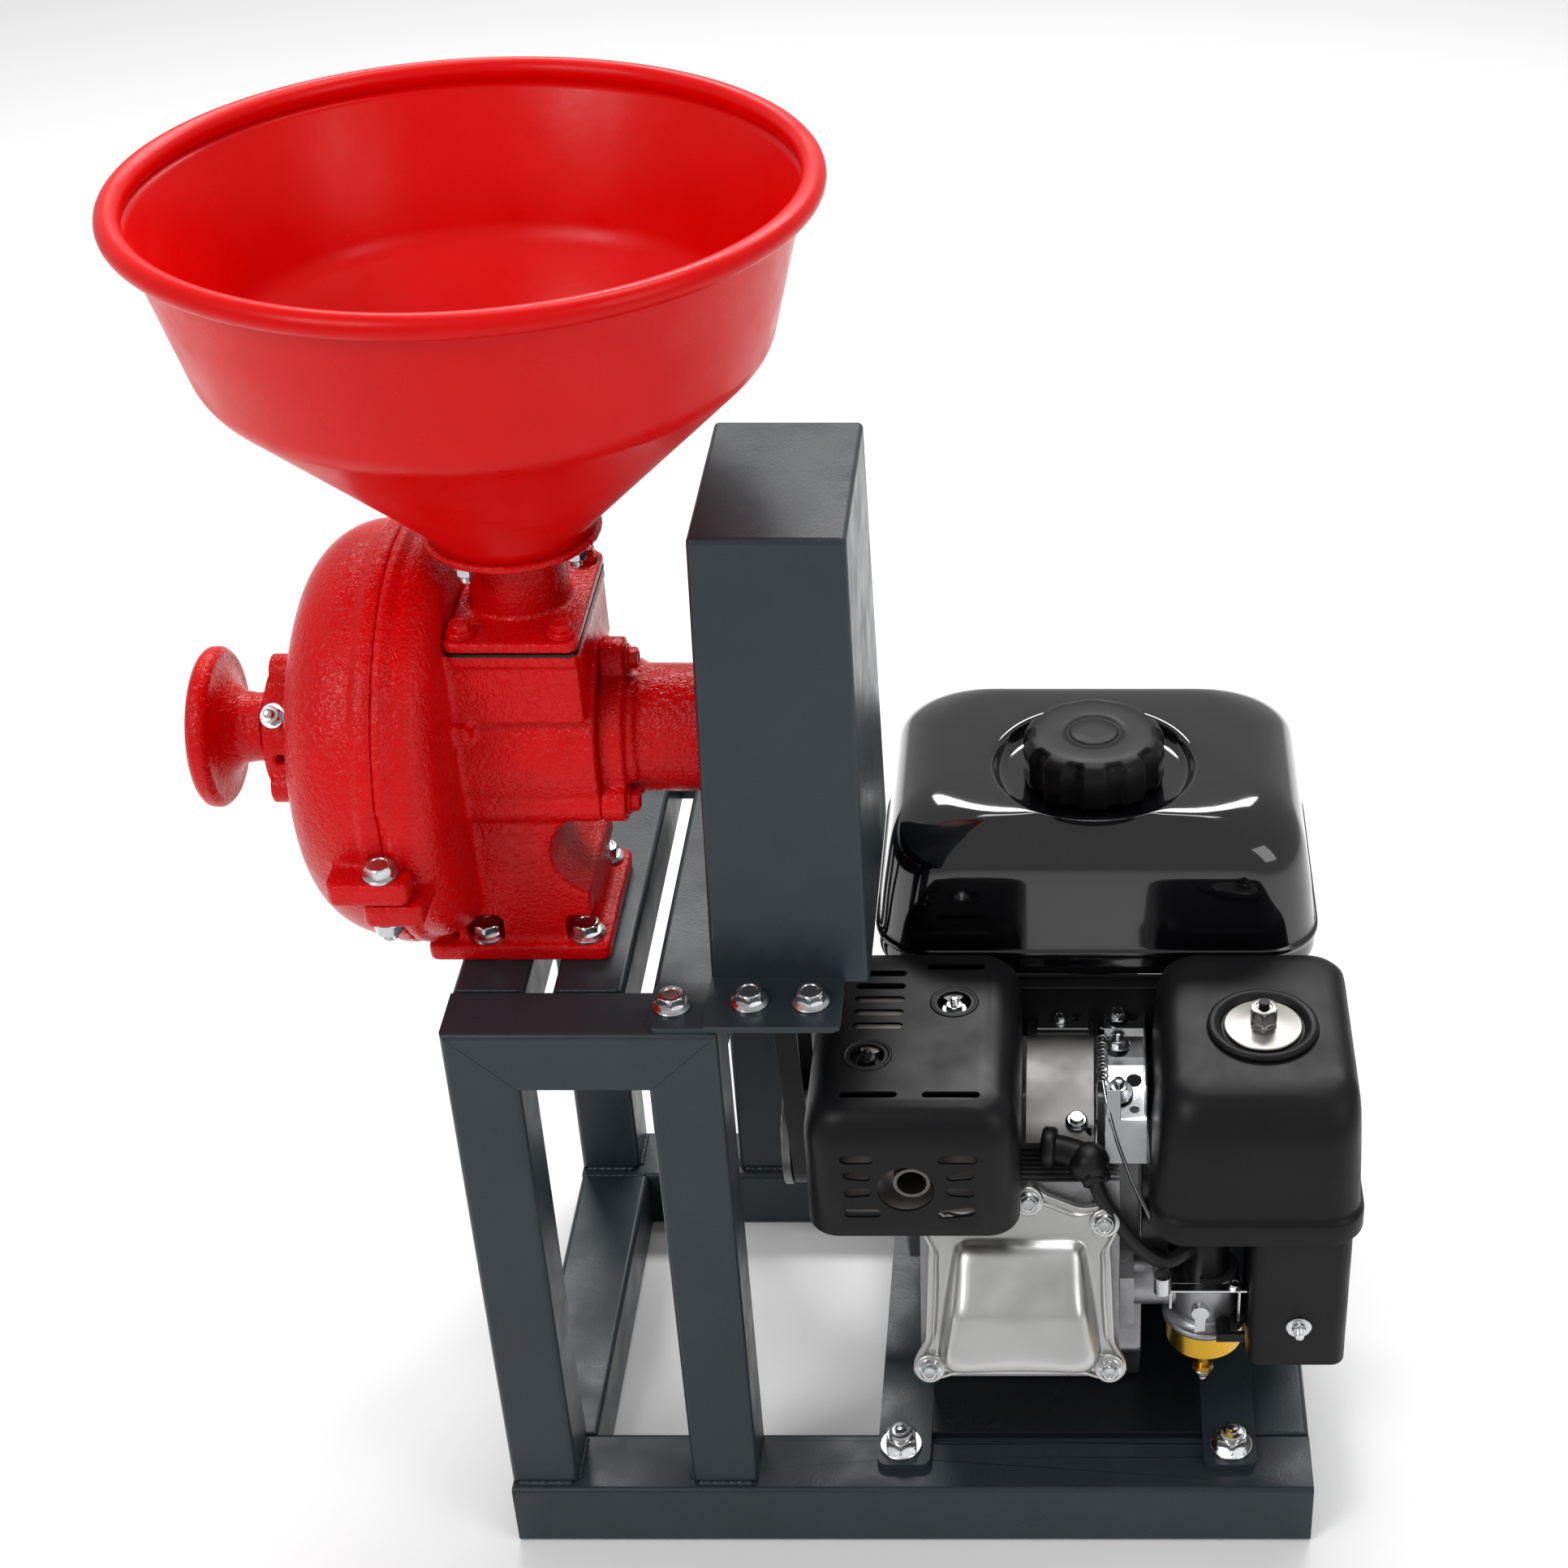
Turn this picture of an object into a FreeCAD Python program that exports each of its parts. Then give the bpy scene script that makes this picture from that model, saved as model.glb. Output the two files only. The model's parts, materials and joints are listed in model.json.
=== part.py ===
import FreeCAD, Part
import math
import os
import Sketcher
from types import SimpleNamespace

# Disc mill for grain on a welded tube stand, driven by a small petrol engine through a V-belt.
# Lengths are millimetres. The driving dimensions are the cells of the sheet "Sizes". Positions are
# worked out in the stand's own frame: X to the right, Y to the back, Z up, zero at the stand's
# front left bottom corner. machine() moves a place from that frame to the part's frame, whose zero
# is below the middle of the whole machine.

SIZES = {
    # the part's origin in the stand's frame
    "origin_x": 180.0, "origin_y": 145.5,
    # stand
    "tube": 38.0, "tube_wall": 2.0, "tube_round": 3.5,
    "base_tube": 44.0, "base_len": 466.0, "base_dep": 314.0,
    "table_len": 143.0, "table_top": 378.0, "table_front": 5.5,
    "long_gap": 14.5,
    "rail_left": 227.0, "rail_right": 418.0, "rail_wide": 31.0, "rail_thick": 5.0,
    "rail_front": 15.0, "rail_back": 302.0, "rail_bolt_y": 30.0, "rail_bolt_back": 288.0,
    "rail_bolt_left": 225.0, "rail_bolt_right": 419.0,
    "plate_front": 40.0, "plate_back": 285.0, "plate_thick": 5.0,
    # mill housing
    "mill_y": 114.0, "mill_z": 497.0, "drum_rad": 109.0, "drum_wall": 8.0,
    "drum_front": -64.0, "seam": -12.0, "drum_back": 15.0, "seam_rib": 3.0, "seam_rib_wide": 6.0,
    "drum_round": 19.0, "barrel_rad": 48.0, "barrel_bore": 33.0, "barrel_end": 84.0,
    "chute_left": 16.0, "chute_right": 81.0, "chute_half": 46.0,
    "throat_wall_x": 14.0, "throat_wall_y": 8.0,
    "inlet_left": 15.0, "inlet_len": 67.0, "inlet_half": 48.5, "inlet_flange": 562.0,
    "inlet_thick": 6.0, "gasket_thick": 1.5,
    "foot_left": -16.5, "foot_right": 80.0, "foot_front": 68.0, "foot_back": 160.0,
    "foot_thick": 10.0, "foot_bolt_left": 14.5, "foot_bolt_right": 67.0,
    "foot_bolt_front": 79.0, "foot_bolt_back": 149.0,
    "mouth_left": -52.0, "mouth_right": -18.0, "mouth_half": 34.0,
    "lug_out": 126.0, "lug_split": 25.0, "ear_rad": 42.0, "ear_round": 11.0,
    "web_right": 72.0, "boss_x": 18.0, "boss_up": 26.0, "boss_round": 6.5,
    "arch_x": 80.0, "arch_z": 443.0, "arch_rad": 26.0,
    # grinding plates and shaft
    "plate_rad": 92.0, "disc_thick": 9.0, "turning_face": -14.0, "grind_gap": 4.3,
    "shaft_rad": 12.5, "shaft_end": 186.0, "screw_rad": 30.0, "screw_turns": 2.0,
    "bearing_rad": 26.0, "bearing_wide": 15.0, "bearing_near": 98.0, "bearing_far": 128.0,
    "housing_rad": 33.5, "housing_flange": 13.0, "housing_end": 146.0,
    "running_gap": 0.05,
    # adjuster
    "cap_front": -88.0, "cap_rad": 36.0, "cap_recess": 19.5, "cap_recess_deep": 6.5,
    "spindle_rad": 10.0, "wheel_front": -125.0, "wheel_rad": 42.0, "wheel_rim": 11.0,
    "hub_rad": 18.0, "hub_end": -92.5,
    # hopper
    "hopper_x": 47.0, "rim_rad": 159.0, "bead_rad": 6.0, "rim_z": 793.0,
    "crease_rad": 136.0, "crease_z": 714.0, "throat_rad": 42.0, "throat_z": 622.0,
    "hopper_wall": 1.5, "neck_rad": 25.0, "neck_bore": 21.0, "ring_rad": 44.5, "ring_z": 612.0,
    "ring_thick": 4.0, "hopper_screw": 36.5, "hopper_fold": 25.0,
    # belt guard and drive
    "guard_left": 136.0, "guard_left_top": 143.0, "guard_right": 219.0,
    "guard_front": 47.0, "guard_back_top": 173.0, "guard_back": 205.0,
    "guard_foot": 381.0, "guard_top": 644.0, "guard_wall": 2.0, "guard_round": 3.0,
    "flange_front": 6.0, "flange_right": 206.0, "flange_thick": 2.5,
    "bracket_left": 107.0, "bracket_thick": 3.0, "guard_bolt_y": 26.0,
    "pulley_left": 150.0, "pulley_wide": 25.0, "belt_wide": 13.0, "belt_deep": 8.0,
    "mill_pulley_rad": 52.0, "engine_pulley_rad": 34.0,
    # engine block
    "crank_y": 190.0, "crank_z": 155.0, "engine_foot": 49.0,
    "case_left": 238.0, "case_right": 366.0, "case_top": 238.0, "case_back": 288.0,
    "crank_rad": 10.0, "crank_end": 147.0,
    "tilt": 22.0, "head_x": 296.0, "head_wide": 112.0, "head_high": 116.0, "head_deep": 62.0,
    "head_face_y": 32.0, "head_face_z": 179.0,
    "rocker_wide": 119.0, "rocker_high": 118.0, "rocker_deep": 26.0, "rocker_flange": 6.0,
    "fan_rad": 92.0, "fan_right": 430.0, "fan_wall": 2.5, "flat_z": 223.5, "flat_y": 160.0,
    "flywheel_rad": 69.0, "recoil_rad": 73.0, "recoil_right": 474.0,
    # fuel tank
    "tank_left": 212.0, "tank_right": 468.0, "tank_front": 160.0, "tank_back": 342.0,
    "tank_lean": 14.0,
    "tank_foot": 296.0, "tank_top": 393.0, "tank_round": 30.0, "tank_wall": 2.0,
    "cap_x": 338.0, "cap_y": 238.0, "cap_well_rad": 56.0, "cap_well_deep": 9.0,
    "cap_knob_rad": 39.0, "cap_knob_high": 30.0, "filler_rad": 22.0,
    # muffler and air cleaner
    "muf_left": 182.0, "muf_right": 297.0, "muf_front": 5.0, "muf_back": 157.0,
    "muf_foot": 239.0, "muf_top": 322.0, "muf_wall": 1.5,
    "air_left": 368.0, "air_right": 485.0, "air_front": 5.0, "air_back": 157.0,
    "air_foot": 233.0, "air_top": 322.0, "air_wall": 2.5, "air_base_thick": 5.0,
    "duct_left": 424.5, "duct_right": 480.0, "duct_front": 16.0, "duct_back": 80.0,
    "duct_foot": 130.0, "knob_x": 430.0, "knob_y": 82.0,
    # carburettor
    "carb_x": 402.0, "carb_y": 52.0, "carb_z": 152.0, "bowl_rad": 22.0,
    # fasteners
    "hopper_bolt": 3.0, "bolt_rad": 4.0, "bolt_flats": 13.0, "bolt_head": 6.0, "bolt_washer": 9.8,
    "washer_thick": 1.8, "hole_gap": 0.3,
    "stud_rad": 5.0, "stud_flats": 17.0, "stud_nut": 9.0, "stud_washer": 12.3,
}


class Size:
    """A length that carries the sheet formula it comes from."""

    def __init__(self, value, text):
        self.value = value
        self.text = text

    def __add__(self, other):
        other = as_size(other)
        return Size(self.value + other.value, f"({self.text} + {other.text})")

    def __radd__(self, other):
        return as_size(other) + self

    def __sub__(self, other):
        other = as_size(other)
        return Size(self.value - other.value, f"({self.text} - {other.text})")

    def __rsub__(self, other):
        return as_size(other) - self

    def __mul__(self, factor):
        factor = as_size(factor)
        return Size(self.value * factor.value, f"({self.text} * {factor.text})")

    def __rmul__(self, factor):
        return as_size(factor) * self

    def __truediv__(self, divisor):
        divisor = as_size(divisor)
        return Size(self.value / divisor.value, f"({self.text} / {divisor.text})")

    def __neg__(self):
        return Size(-self.value, f"(-1 * {self.text})")


def as_size(number):
    if isinstance(number, Size):
        return number
    return Size(float(number), f"({float(number):.6f})")


doc = FreeCAD.newDocument("GrainMill")
sheet = doc.addObject("Spreadsheet::Sheet", "Sizes")
for row, (alias, value) in enumerate(SIZES.items(), start=1):
    sheet.set(f"A{row}", alias.replace("_", " "))
    sheet.set(f"B{row}", str(value))
    sheet.setAlias(f"B{row}", alias)
doc.recompute()
s = SimpleNamespace(**{alias: Size(value, f"Sizes.{alias}") for alias, value in SIZES.items()})

TURN = {
    "x": FreeCAD.Rotation(FreeCAD.Vector(0, 1, 0), 90),
    "-x": FreeCAD.Rotation(FreeCAD.Vector(0, 1, 0), -90),
    "y": FreeCAD.Rotation(FreeCAD.Vector(1, 0, 0), -90),
    "-y": FreeCAD.Rotation(FreeCAD.Vector(1, 0, 0), 90),
    "z": FreeCAD.Rotation(),
    "-z": FreeCAD.Rotation(FreeCAD.Vector(1, 0, 0), 180),
}
SUBPARTS = {}


def machine(x, y, z):
    """A place given in the stand's frame, in the part's frame."""
    return as_size(x) - s.origin_x, as_size(y) - s.origin_y, as_size(z)


def bind(obj, prop, size):
    obj.setExpression(prop, as_size(size).text)


def place(obj, where, rotation=None):
    """Turns an object, then binds its position to the sheet."""
    if rotation is not None:
        obj.Placement = FreeCAD.Placement(FreeCAD.Vector(), rotation)
    for letter, size in zip("xyz", where):
        bind(obj, f"Placement.Base.{letter}", size)
    return obj


def subpart(node, obj):
    """Names a finished sub-part and lists it for the export."""
    obj.Label = node
    SUBPARTS[node] = obj
    return obj


# ---- shapes


def box(name, corner, size, rotation=None):
    obj = doc.addObject("Part::Box", name)
    for prop, length in zip(("Length", "Width", "Height"), size):
        bind(obj, prop, length)
    return place(obj, corner, rotation)


def cylinder(name, foot, radius, height, axis="z"):
    obj = doc.addObject("Part::Cylinder", name)
    bind(obj, "Radius", radius)
    bind(obj, "Height", height)
    return place(obj, foot, TURN[axis])


def sphere(name, centre, radius):
    obj = doc.addObject("Part::Sphere", name)
    bind(obj, "Radius", radius)
    return place(obj, centre)


def torus(name, centre, large, small, axis="z"):
    obj = doc.addObject("Part::Torus", name)
    bind(obj, "Radius1", large)
    bind(obj, "Radius2", small)
    return place(obj, centre, TURN[axis])


def hexagon(name, foot, flats, height, axis="z"):
    obj = doc.addObject("Part::Prism", name)
    obj.Polygon = 6
    bind(obj, "Circumradius", as_size(flats) / math.sqrt(3))
    bind(obj, "Height", height)
    return place(obj, foot, TURN[axis])


def join(name, pieces):
    obj = doc.addObject("Part::MultiFuse", name)
    obj.Shapes = list(pieces)
    obj.Refine = True
    return obj


def group(name, pieces):
    """Separate solids under one name."""
    obj = doc.addObject("Part::Compound", name)
    obj.Links = list(pieces)
    return obj


def cut(name, base, tools):
    obj = doc.addObject("Part::Cut", name)
    obj.Base = base
    obj.Tool = tools[0] if len(tools) == 1 else group(f"{name}_tools", tools)
    return obj


def overlap(name, first, second):
    obj = doc.addObject("Part::Common", name)
    obj.Base = first
    obj.Tool = second
    return obj


def rounded(name, base, radius, wanted):
    """Rounds the edges for which wanted(edge) is true."""
    doc.recompute()
    edges = [n for n, edge in enumerate(base.Shape.Edges, start=1) if wanted(edge)]
    obj = doc.addObject("Part::Fillet", name)
    obj.Base = base
    obj.Edges = [(n, radius.value, radius.value) for n in edges]
    return obj


def along(letter):
    """A test for straight edges that run along one axis."""

    def test(edge):
        if not isinstance(edge.Curve, Part.Line) and not isinstance(edge.Curve, Part.LineSegment):
            return False
        return abs(abs(getattr(edge.tangentAt(edge.FirstParameter), letter)) - 1) < 1e-6

    return test


def outline(body, plane, points, name):
    """A closed sketch through points, each held to the sheet by its two distances from the origin."""
    sketch = body.newObject("Sketcher::SketchObject", name)
    planes = [f for f in body.Origin.OriginFeatures if f.Role == plane]
    sketch.AttachmentSupport = (planes[0], [""])
    sketch.MapMode = "FlatFace"
    count = len(points)
    spots = [FreeCAD.Vector(as_size(x).value, as_size(y).value, 0) for x, y in points]
    for n in range(count):
        sketch.addGeometry(Part.LineSegment(spots[n], spots[(n + 1) % count]), False)
    for n in range(count):
        sketch.addConstraint(Sketcher.Constraint("Coincident", n, 2, (n + 1) % count, 1))
    for n, (x, y) in enumerate(points):
        for kind, axis, size in (("DistanceX", -2, x), ("DistanceY", -1, y)):
            size = as_size(size)
            if size.value == 0:
                sketch.addConstraint(Sketcher.Constraint("PointOnObject", n, 1, axis))
                continue
            index = sketch.addConstraint(Sketcher.Constraint(kind, -1, 1, n, 1, size.value))
            sketch.setExpression(f"Constraints[{index}]", size.text)
    return sketch


def turned(name, points, foot, axis="z"):
    """A solid of revolution. Each point is (radius, distance along the axis from foot)."""
    body = doc.addObject("PartDesign::Body", name)
    sketch = outline(body, "XZ_Plane", points, f"{name}_profile")
    spin = body.newObject("PartDesign::Revolution", f"{name}_turn")
    spin.Profile = sketch
    spin.ReferenceAxis = (sketch, ["V_Axis"])
    spin.Angle = 360.0
    body.Tip = spin
    return place(body, foot, TURN[axis])


PAD_TURN = {
    "XY_Plane": (FreeCAD.Rotation(), False),
    "XZ_Plane": (FreeCAD.Rotation(), True),
    "YZ_Plane": (FreeCAD.Rotation(), False),
}


def padded(name, plane, points, depth, corner):
    """A prism: an outline in one plane, pushed by depth along that plane's positive axis."""
    rotation, backwards = PAD_TURN[plane]
    body = doc.addObject("PartDesign::Body", name)
    sketch = outline(body, plane, points, f"{name}_profile")
    pad = body.newObject("PartDesign::Pad", f"{name}_pad")
    pad.Profile = sketch
    bind(pad, "Length", depth)
    pad.Reversed = backwards
    body.Tip = pad
    return place(body, corner, rotation)


def soften(body, radius, wanted, name):
    """Adds a fillet to the body's last feature."""
    doc.recompute()
    base = body.Tip
    edges = [f"Edge{n}" for n, edge in enumerate(base.Shape.Edges, start=1) if wanted(edge)]
    fillet = body.newObject("PartDesign::Fillet", name)
    fillet.Base = (base, edges)
    bind(fillet, "Radius", radius)
    body.Tip = fillet
    return body


def round_at(radius, height, slack=0.5):
    """A test for a circular edge of a turned body, in the body's own frame."""

    def test(edge):
        if not isinstance(edge.Curve, Part.Circle):
            return False
        centre = edge.Curve.Center
        return abs(edge.Curve.Radius - radius) < slack and abs(centre.z - height) < slack

    return test


# ---- fasteners


def bolt(name, seat, grip, axis="z", share=1.0):
    """Hexagon bolt with a washer: the head is above seat, and the shank reaches grip below it."""
    x, y, z = seat
    washer = cylinder(f"{name}_washer", seat, s.bolt_washer * share, s.washer_thick, axis)
    sign = -1 if axis.startswith("-") else 1
    step = {"x": (1, 0, 0), "y": (0, 1, 0), "z": (0, 0, 1)}[axis[-1]]
    head_seat = tuple(as_size(v) + s.washer_thick * (sign * d) for v, d in zip((x, y, z), step))
    shank_seat = tuple(as_size(v) - as_size(grip) * (sign * d) for v, d in zip((x, y, z), step))
    head = hexagon(f"{name}_head", head_seat, s.bolt_flats * share, s.bolt_head * share, axis)
    shank = cylinder(f"{name}_shank", shank_seat, s.bolt_rad, as_size(grip) + s.washer_thick, axis)
    return join(name, [washer, head, shank])


def stud(name, seat, grip):
    """Upright stud with a washer and a nut."""
    x, y, z = seat
    washer = cylinder(f"{name}_washer", seat, s.stud_washer, s.washer_thick)
    nut = hexagon(f"{name}_nut", (x, y, z + s.washer_thick), s.stud_flats, s.stud_nut)
    length = as_size(grip) + s.washer_thick + s.stud_nut + 4
    shank = cylinder(f"{name}_shank", (x, y, z - grip), s.stud_rad, length)
    return join(name, [washer, nut, shank])


def holes(name, spots, radius, low, high):
    """Upright cutting cylinders, with room round the shank."""
    return [
        cylinder(f"{name}_{n}", machine(x, y, low), radius + s.hole_gap, as_size(high) - low)
        for n, (x, y) in enumerate(spots)
    ]


RAIL_SPOTS = [(x, y) for x in (s.rail_bolt_left, s.rail_bolt_right) for y in (s.rail_bolt_y,
    s.rail_bolt_back)]
FOOT_SPOTS = [
    (x, y) for x in (s.foot_bolt_left, s.foot_bolt_right) for y in (s.foot_bolt_front, s.foot_bolt_back)
]
BRACKET_SPOTS = [(as_size(118.0), s.guard_bolt_y)]
FLANGE_SPOTS = [(as_size(x), s.guard_bolt_y) for x in (158.5, 190.0)]
INLET_SPOTS = [(s.inlet_left + x, s.mill_y + y) for x in (8.5, 58.5) for y in (-38.5, 38.5)]
ENGINE_SPOTS = [(x, y) for x in (264.0, 340.0) for y in (109.0, 271.0)]

# ---- stand


def square_tube(name, corner, length, direction, side):
    """Hollow square tube with rounded long edges, open at both ends."""
    along_x = direction == "x"
    along_z = direction == "z"
    outer_size = [side, side, side]
    inner_size = [side - 2 * s.tube_wall] * 3
    place_in = [as_size(v) + s.tube_wall for v in corner]
    index = 0 if along_x else 2 if along_z else 1
    outer_size[index] = length
    inner_size[index] = length
    place_in[index] = as_size(corner[index])
    outer = box(f"{name}_outer", machine(*corner), outer_size)
    soft = rounded(f"{name}_soft", outer, s.tube_round, along(direction))
    inner = box(f"{name}_inner", machine(*place_in), inner_size)
    return cut(name, soft, [inner])


def make_base_tubes():
    side = s.base_tube
    back = s.base_dep - side
    between = s.base_dep - 2 * side
    front_tube = square_tube("base_front", (0, 0, 0), s.base_len, "x", side)
    rear_tube = square_tube("base_rear", (0, back, 0), s.base_len, "x", side)
    left_tube = square_tube("base_left", (0, side, 0), between, "y", side)
    right_tube = square_tube("base_right", (s.base_len - side, side, 0), between, "y", side)
    tools = holes("rail_hole", RAIL_SPOTS, s.stud_rad, side / 2, side + 1)
    solids = [
        cut("base_front_bored", front_tube, tools[0::2]), cut("base_rear_bored", rear_tube, tools[1::2]),
        left_tube, right_tube,
    ]
    inner = side - 2 * s.tube_wall
    for n, (x, y) in enumerate((x, y) for x in (as_size(0), s.base_len - s.tube_wall) for y in (as_size(0),
        back)):
        corner = machine(x, y + s.tube_wall, s.tube_wall)
        solids.append(box(f"end_plate_{n}", corner, (s.tube_wall, inner, inner)))
    subpart("base_tubes", group("base_tubes", solids))


def mitred_tube(name, outer_points, inner_points, y):
    """A tube in an upright X-Z plane whose ends follow the outline."""
    outer = padded(f"{name}_outer", "XZ_Plane", outer_points, s.tube, machine(0, y, 0))
    soften(outer, s.tube_round, lambda edge: along("x")(edge) or along("z")(edge), f"{name}_round")
    inner_depth = s.tube - 2 * s.tube_wall
    inner = padded(f"{name}_inner", "XZ_Plane", inner_points, inner_depth, machine(0, y + s.tube_wall, 0))
    return cut(name, outer, [inner])


def make_table():
    t, w, top, foot = s.tube, s.tube_wall, s.table_top, s.base_tube
    right = s.table_len
    legs = []
    cross = []
    for name, y in (("front", s.table_front), ("rear", s.base_dep - s.tube)):
        left_outer = [(0, foot), (t, foot), (t, top - t), (0, top)]
        left_inner = [(w, foot), (t - w, foot), (t - w, top - t + w), (w, top - w)]
        right_outer = [(right - t, foot), (right, foot), (right, top), (right - t, top - t)]
        right_inner = [(right - t + w, foot), (right - w, foot), (right - w, top - w),
                       (right - t + w, top - t + w)]
        top_outer = [(0, top), (t, top - t), (right - t, top - t), (right, top)]
        top_inner = [(w, top - w), (t - w, top - t + w), (right - t + w, top - t + w), (right - w, top - w)]
        legs.append(mitred_tube(f"leg_{name}_left", left_outer, left_inner, y))
        legs.append(mitred_tube(f"leg_{name}_right", right_outer, right_inner, y))
        cross.append(mitred_tube(f"table_{name}", top_outer, top_inner, y))
    subpart("stand_legs", group("stand_legs", legs))

    start = s.table_front + s.tube
    length = s.base_dep - s.tube - start
    step = s.tube + s.long_gap
    bolt_tools = holes("foot_hole", FOOT_SPOTS, s.bolt_rad, top - 15, top + 1)
    bracket_tool = holes("bracket_hole", BRACKET_SPOTS, s.bolt_rad, top - 15, top + 1)
    longs = [square_tube(f"table_long_{n}", (step * n, start, top - t), length, "y", t) for n in range(3)]
    longs[0] = cut("table_long_0_bored", longs[0], bolt_tools[:2])
    longs[1] = cut("table_long_1_bored", longs[1], bolt_tools[2:])
    cross[0] = cut("table_front_bored", cross[0], bracket_tool)
    subpart("table_tubes", group("table_tubes", cross + longs))


def make_rails():
    bars = []
    for n, x in enumerate((s.rail_left, s.rail_right)):
        size = (s.rail_wide, s.rail_back - s.rail_front, s.rail_thick)
        bar = box(f"rail_bar_{n}", machine(x - s.rail_wide / 2, s.rail_front, s.base_tube), size)
        bar = rounded(f"rail_round_{n}", bar, as_size(6), along("z"))
        spots = [RAIL_SPOTS[2 * n], RAIL_SPOTS[2 * n + 1]]
        bars.append(cut(f"rail_{n}", bar,
                        holes(f"rail_cut_{n}", spots, s.stud_rad, s.base_tube - 1, s.base_tube + 10)))
    subpart("engine_rails", group("engine_rails", bars))
    low = s.base_tube
    size = (s.rail_right - s.rail_left - s.rail_wide, s.plate_back - s.plate_front, s.plate_thick)
    plate = box("plate_bar", machine(s.rail_left + s.rail_wide / 2, s.plate_front, low), size)
    tools = holes("engine_hole", ENGINE_SPOTS, s.bolt_rad, low - 1, low + 10)
    subpart("engine_plate", cut("engine_plate", plate, tools))


def make_frame_bolts():
    studs = [stud(f"rail_stud_{n}", machine(x, y, s.base_tube + s.rail_thick), 12) for n,
             (x, y) in enumerate(RAIL_SPOTS)]
    subpart("rail_studs", group("rail_studs", studs))
    bolts = []
    for n, (x, y) in enumerate(FOOT_SPOTS):
        bolts.append(bolt(f"foot_bolt_{n}", machine(x, y, s.table_top + s.foot_thick), 16))
    bracket_top = s.table_top + s.bracket_thick
    bolts.append(bolt("bracket_bolt", machine(*BRACKET_SPOTS[0], bracket_top), 12))
    for n, (x, y) in enumerate(FLANGE_SPOTS):
        bolts.append(bolt(f"flange_bolt_{n}", machine(x, y, bracket_top + s.flange_thick), 12))
    for n, (x, y) in enumerate(ENGINE_SPOTS):
        bolts.append(bolt(f"engine_bolt_{n}", machine(x, y, s.engine_foot + 8), 12.9))
    subpart("frame_bolts", group("frame_bolts", bolts))


make_base_tubes()
make_table()
make_rails()
make_frame_bolts()

# ---- belt guard


def guard_shape(name, inset, low):
    """The guard's outer shape, or its inside when inset is the wall."""
    front_view = [
        (s.guard_left + inset, low), (s.guard_right - inset, low),
        (s.guard_right - inset, s.guard_top - inset), (s.guard_left_top + inset, s.guard_top - inset),
    ]
    side_view = [
        (s.guard_front + inset, low), (s.guard_back - inset, low),
        (s.guard_back_top - inset, s.guard_top - inset), (s.guard_front + inset, s.guard_top - inset),
    ]
    depth = s.guard_back - s.guard_front + 40
    width = s.guard_right - s.guard_left + 40
    front = padded(f"{name}_front_view", "XZ_Plane", front_view, depth, machine(0, s.guard_front - 20, 0))
    side = padded(f"{name}_side_view", "YZ_Plane", side_view, width, machine(s.guard_left - 20, 0, 0))
    return overlap(name, front, side)


def make_guard():
    outer = guard_shape("guard_outer", as_size(0), s.guard_foot)
    floor_z = s.guard_foot.value

    def bent(edge):
        return min(v.Point.z for v in edge.Vertexes) > floor_z + 1 or not on_floor(edge)

    def on_floor(edge):
        return all(abs(v.Point.z - floor_z) < 0.1 for v in edge.Vertexes)

    soft = rounded("guard_soft", outer, s.guard_round, bent)
    inner = guard_shape("guard_inner", s.guard_wall, s.guard_foot - 10)
    bore = cylinder(
        "guard_bore", machine(s.guard_left - 20, s.mill_y, s.mill_z), s.housing_rad + 1.5, 60, "x"
    )
    shell = cut("guard_shell", soft, [inner, bore])
    flange_size = (s.flange_right - s.guard_left, s.guard_front - s.flange_front + s.guard_wall,
                   s.flange_thick)
    flange = box("guard_flange", machine(s.guard_left, s.flange_front, s.guard_foot), flange_size)
    drilled = cut(
        "guard_flange_bored", flange,
        holes("flange_hole", FLANGE_SPOTS, s.bolt_rad, s.guard_foot - 1, s.guard_foot + 5),
    )
    subpart("belt_guard", join("belt_guard", [shell, drilled]))

    size = (s.flange_right - s.bracket_left, s.guard_front - s.flange_front - 3, s.bracket_thick)
    plate = box("bracket_bar", machine(s.bracket_left, s.flange_front + 2, s.table_top), size)
    plate = rounded("bracket_soft", plate, as_size(5), along("z"))
    spots = BRACKET_SPOTS + FLANGE_SPOTS
    subpart(
        "guard_bracket",
        cut("guard_bracket", plate,
            holes("bracket_cut", spots, s.bolt_rad, s.table_top - 1, s.table_top + 6)),
    )


make_guard()

# ---- mill housing


def on_axis(x):
    """A place on the mill's axis."""
    return machine(x, s.mill_y, s.mill_z)


def drum_half(name, ends, rib_at, closed):
    """A hollow half drum about the mill's axis. closed is the side that carries the end wall."""
    open_end, wall_end = ends
    sign = 1 if wall_end.value > open_end.value else -1
    length = (wall_end - open_end) * sign
    wall = s.drum_wall
    profile = [
        (closed, length), (s.drum_rad, length), (s.drum_rad, s.seam_rib_wide),
        (s.drum_rad + s.seam_rib, s.seam_rib_wide), (s.drum_rad + s.seam_rib, 0), (s.drum_rad - wall, 0),
        (s.drum_rad - wall, length - wall), (closed, length - wall),
    ]
    axis = "x" if sign > 0 else "-x"
    body = turned(name, profile, machine(rib_at, s.mill_y, s.mill_z), axis)
    soften(body, s.drum_round, round_at(s.drum_rad.value, length.value), f"{name}_round")
    inner_round = s.drum_round - wall
    return soften(
        body, inner_round, round_at((s.drum_rad - wall).value, (length - wall).value), f"{name}_inner_round"
    )


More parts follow.
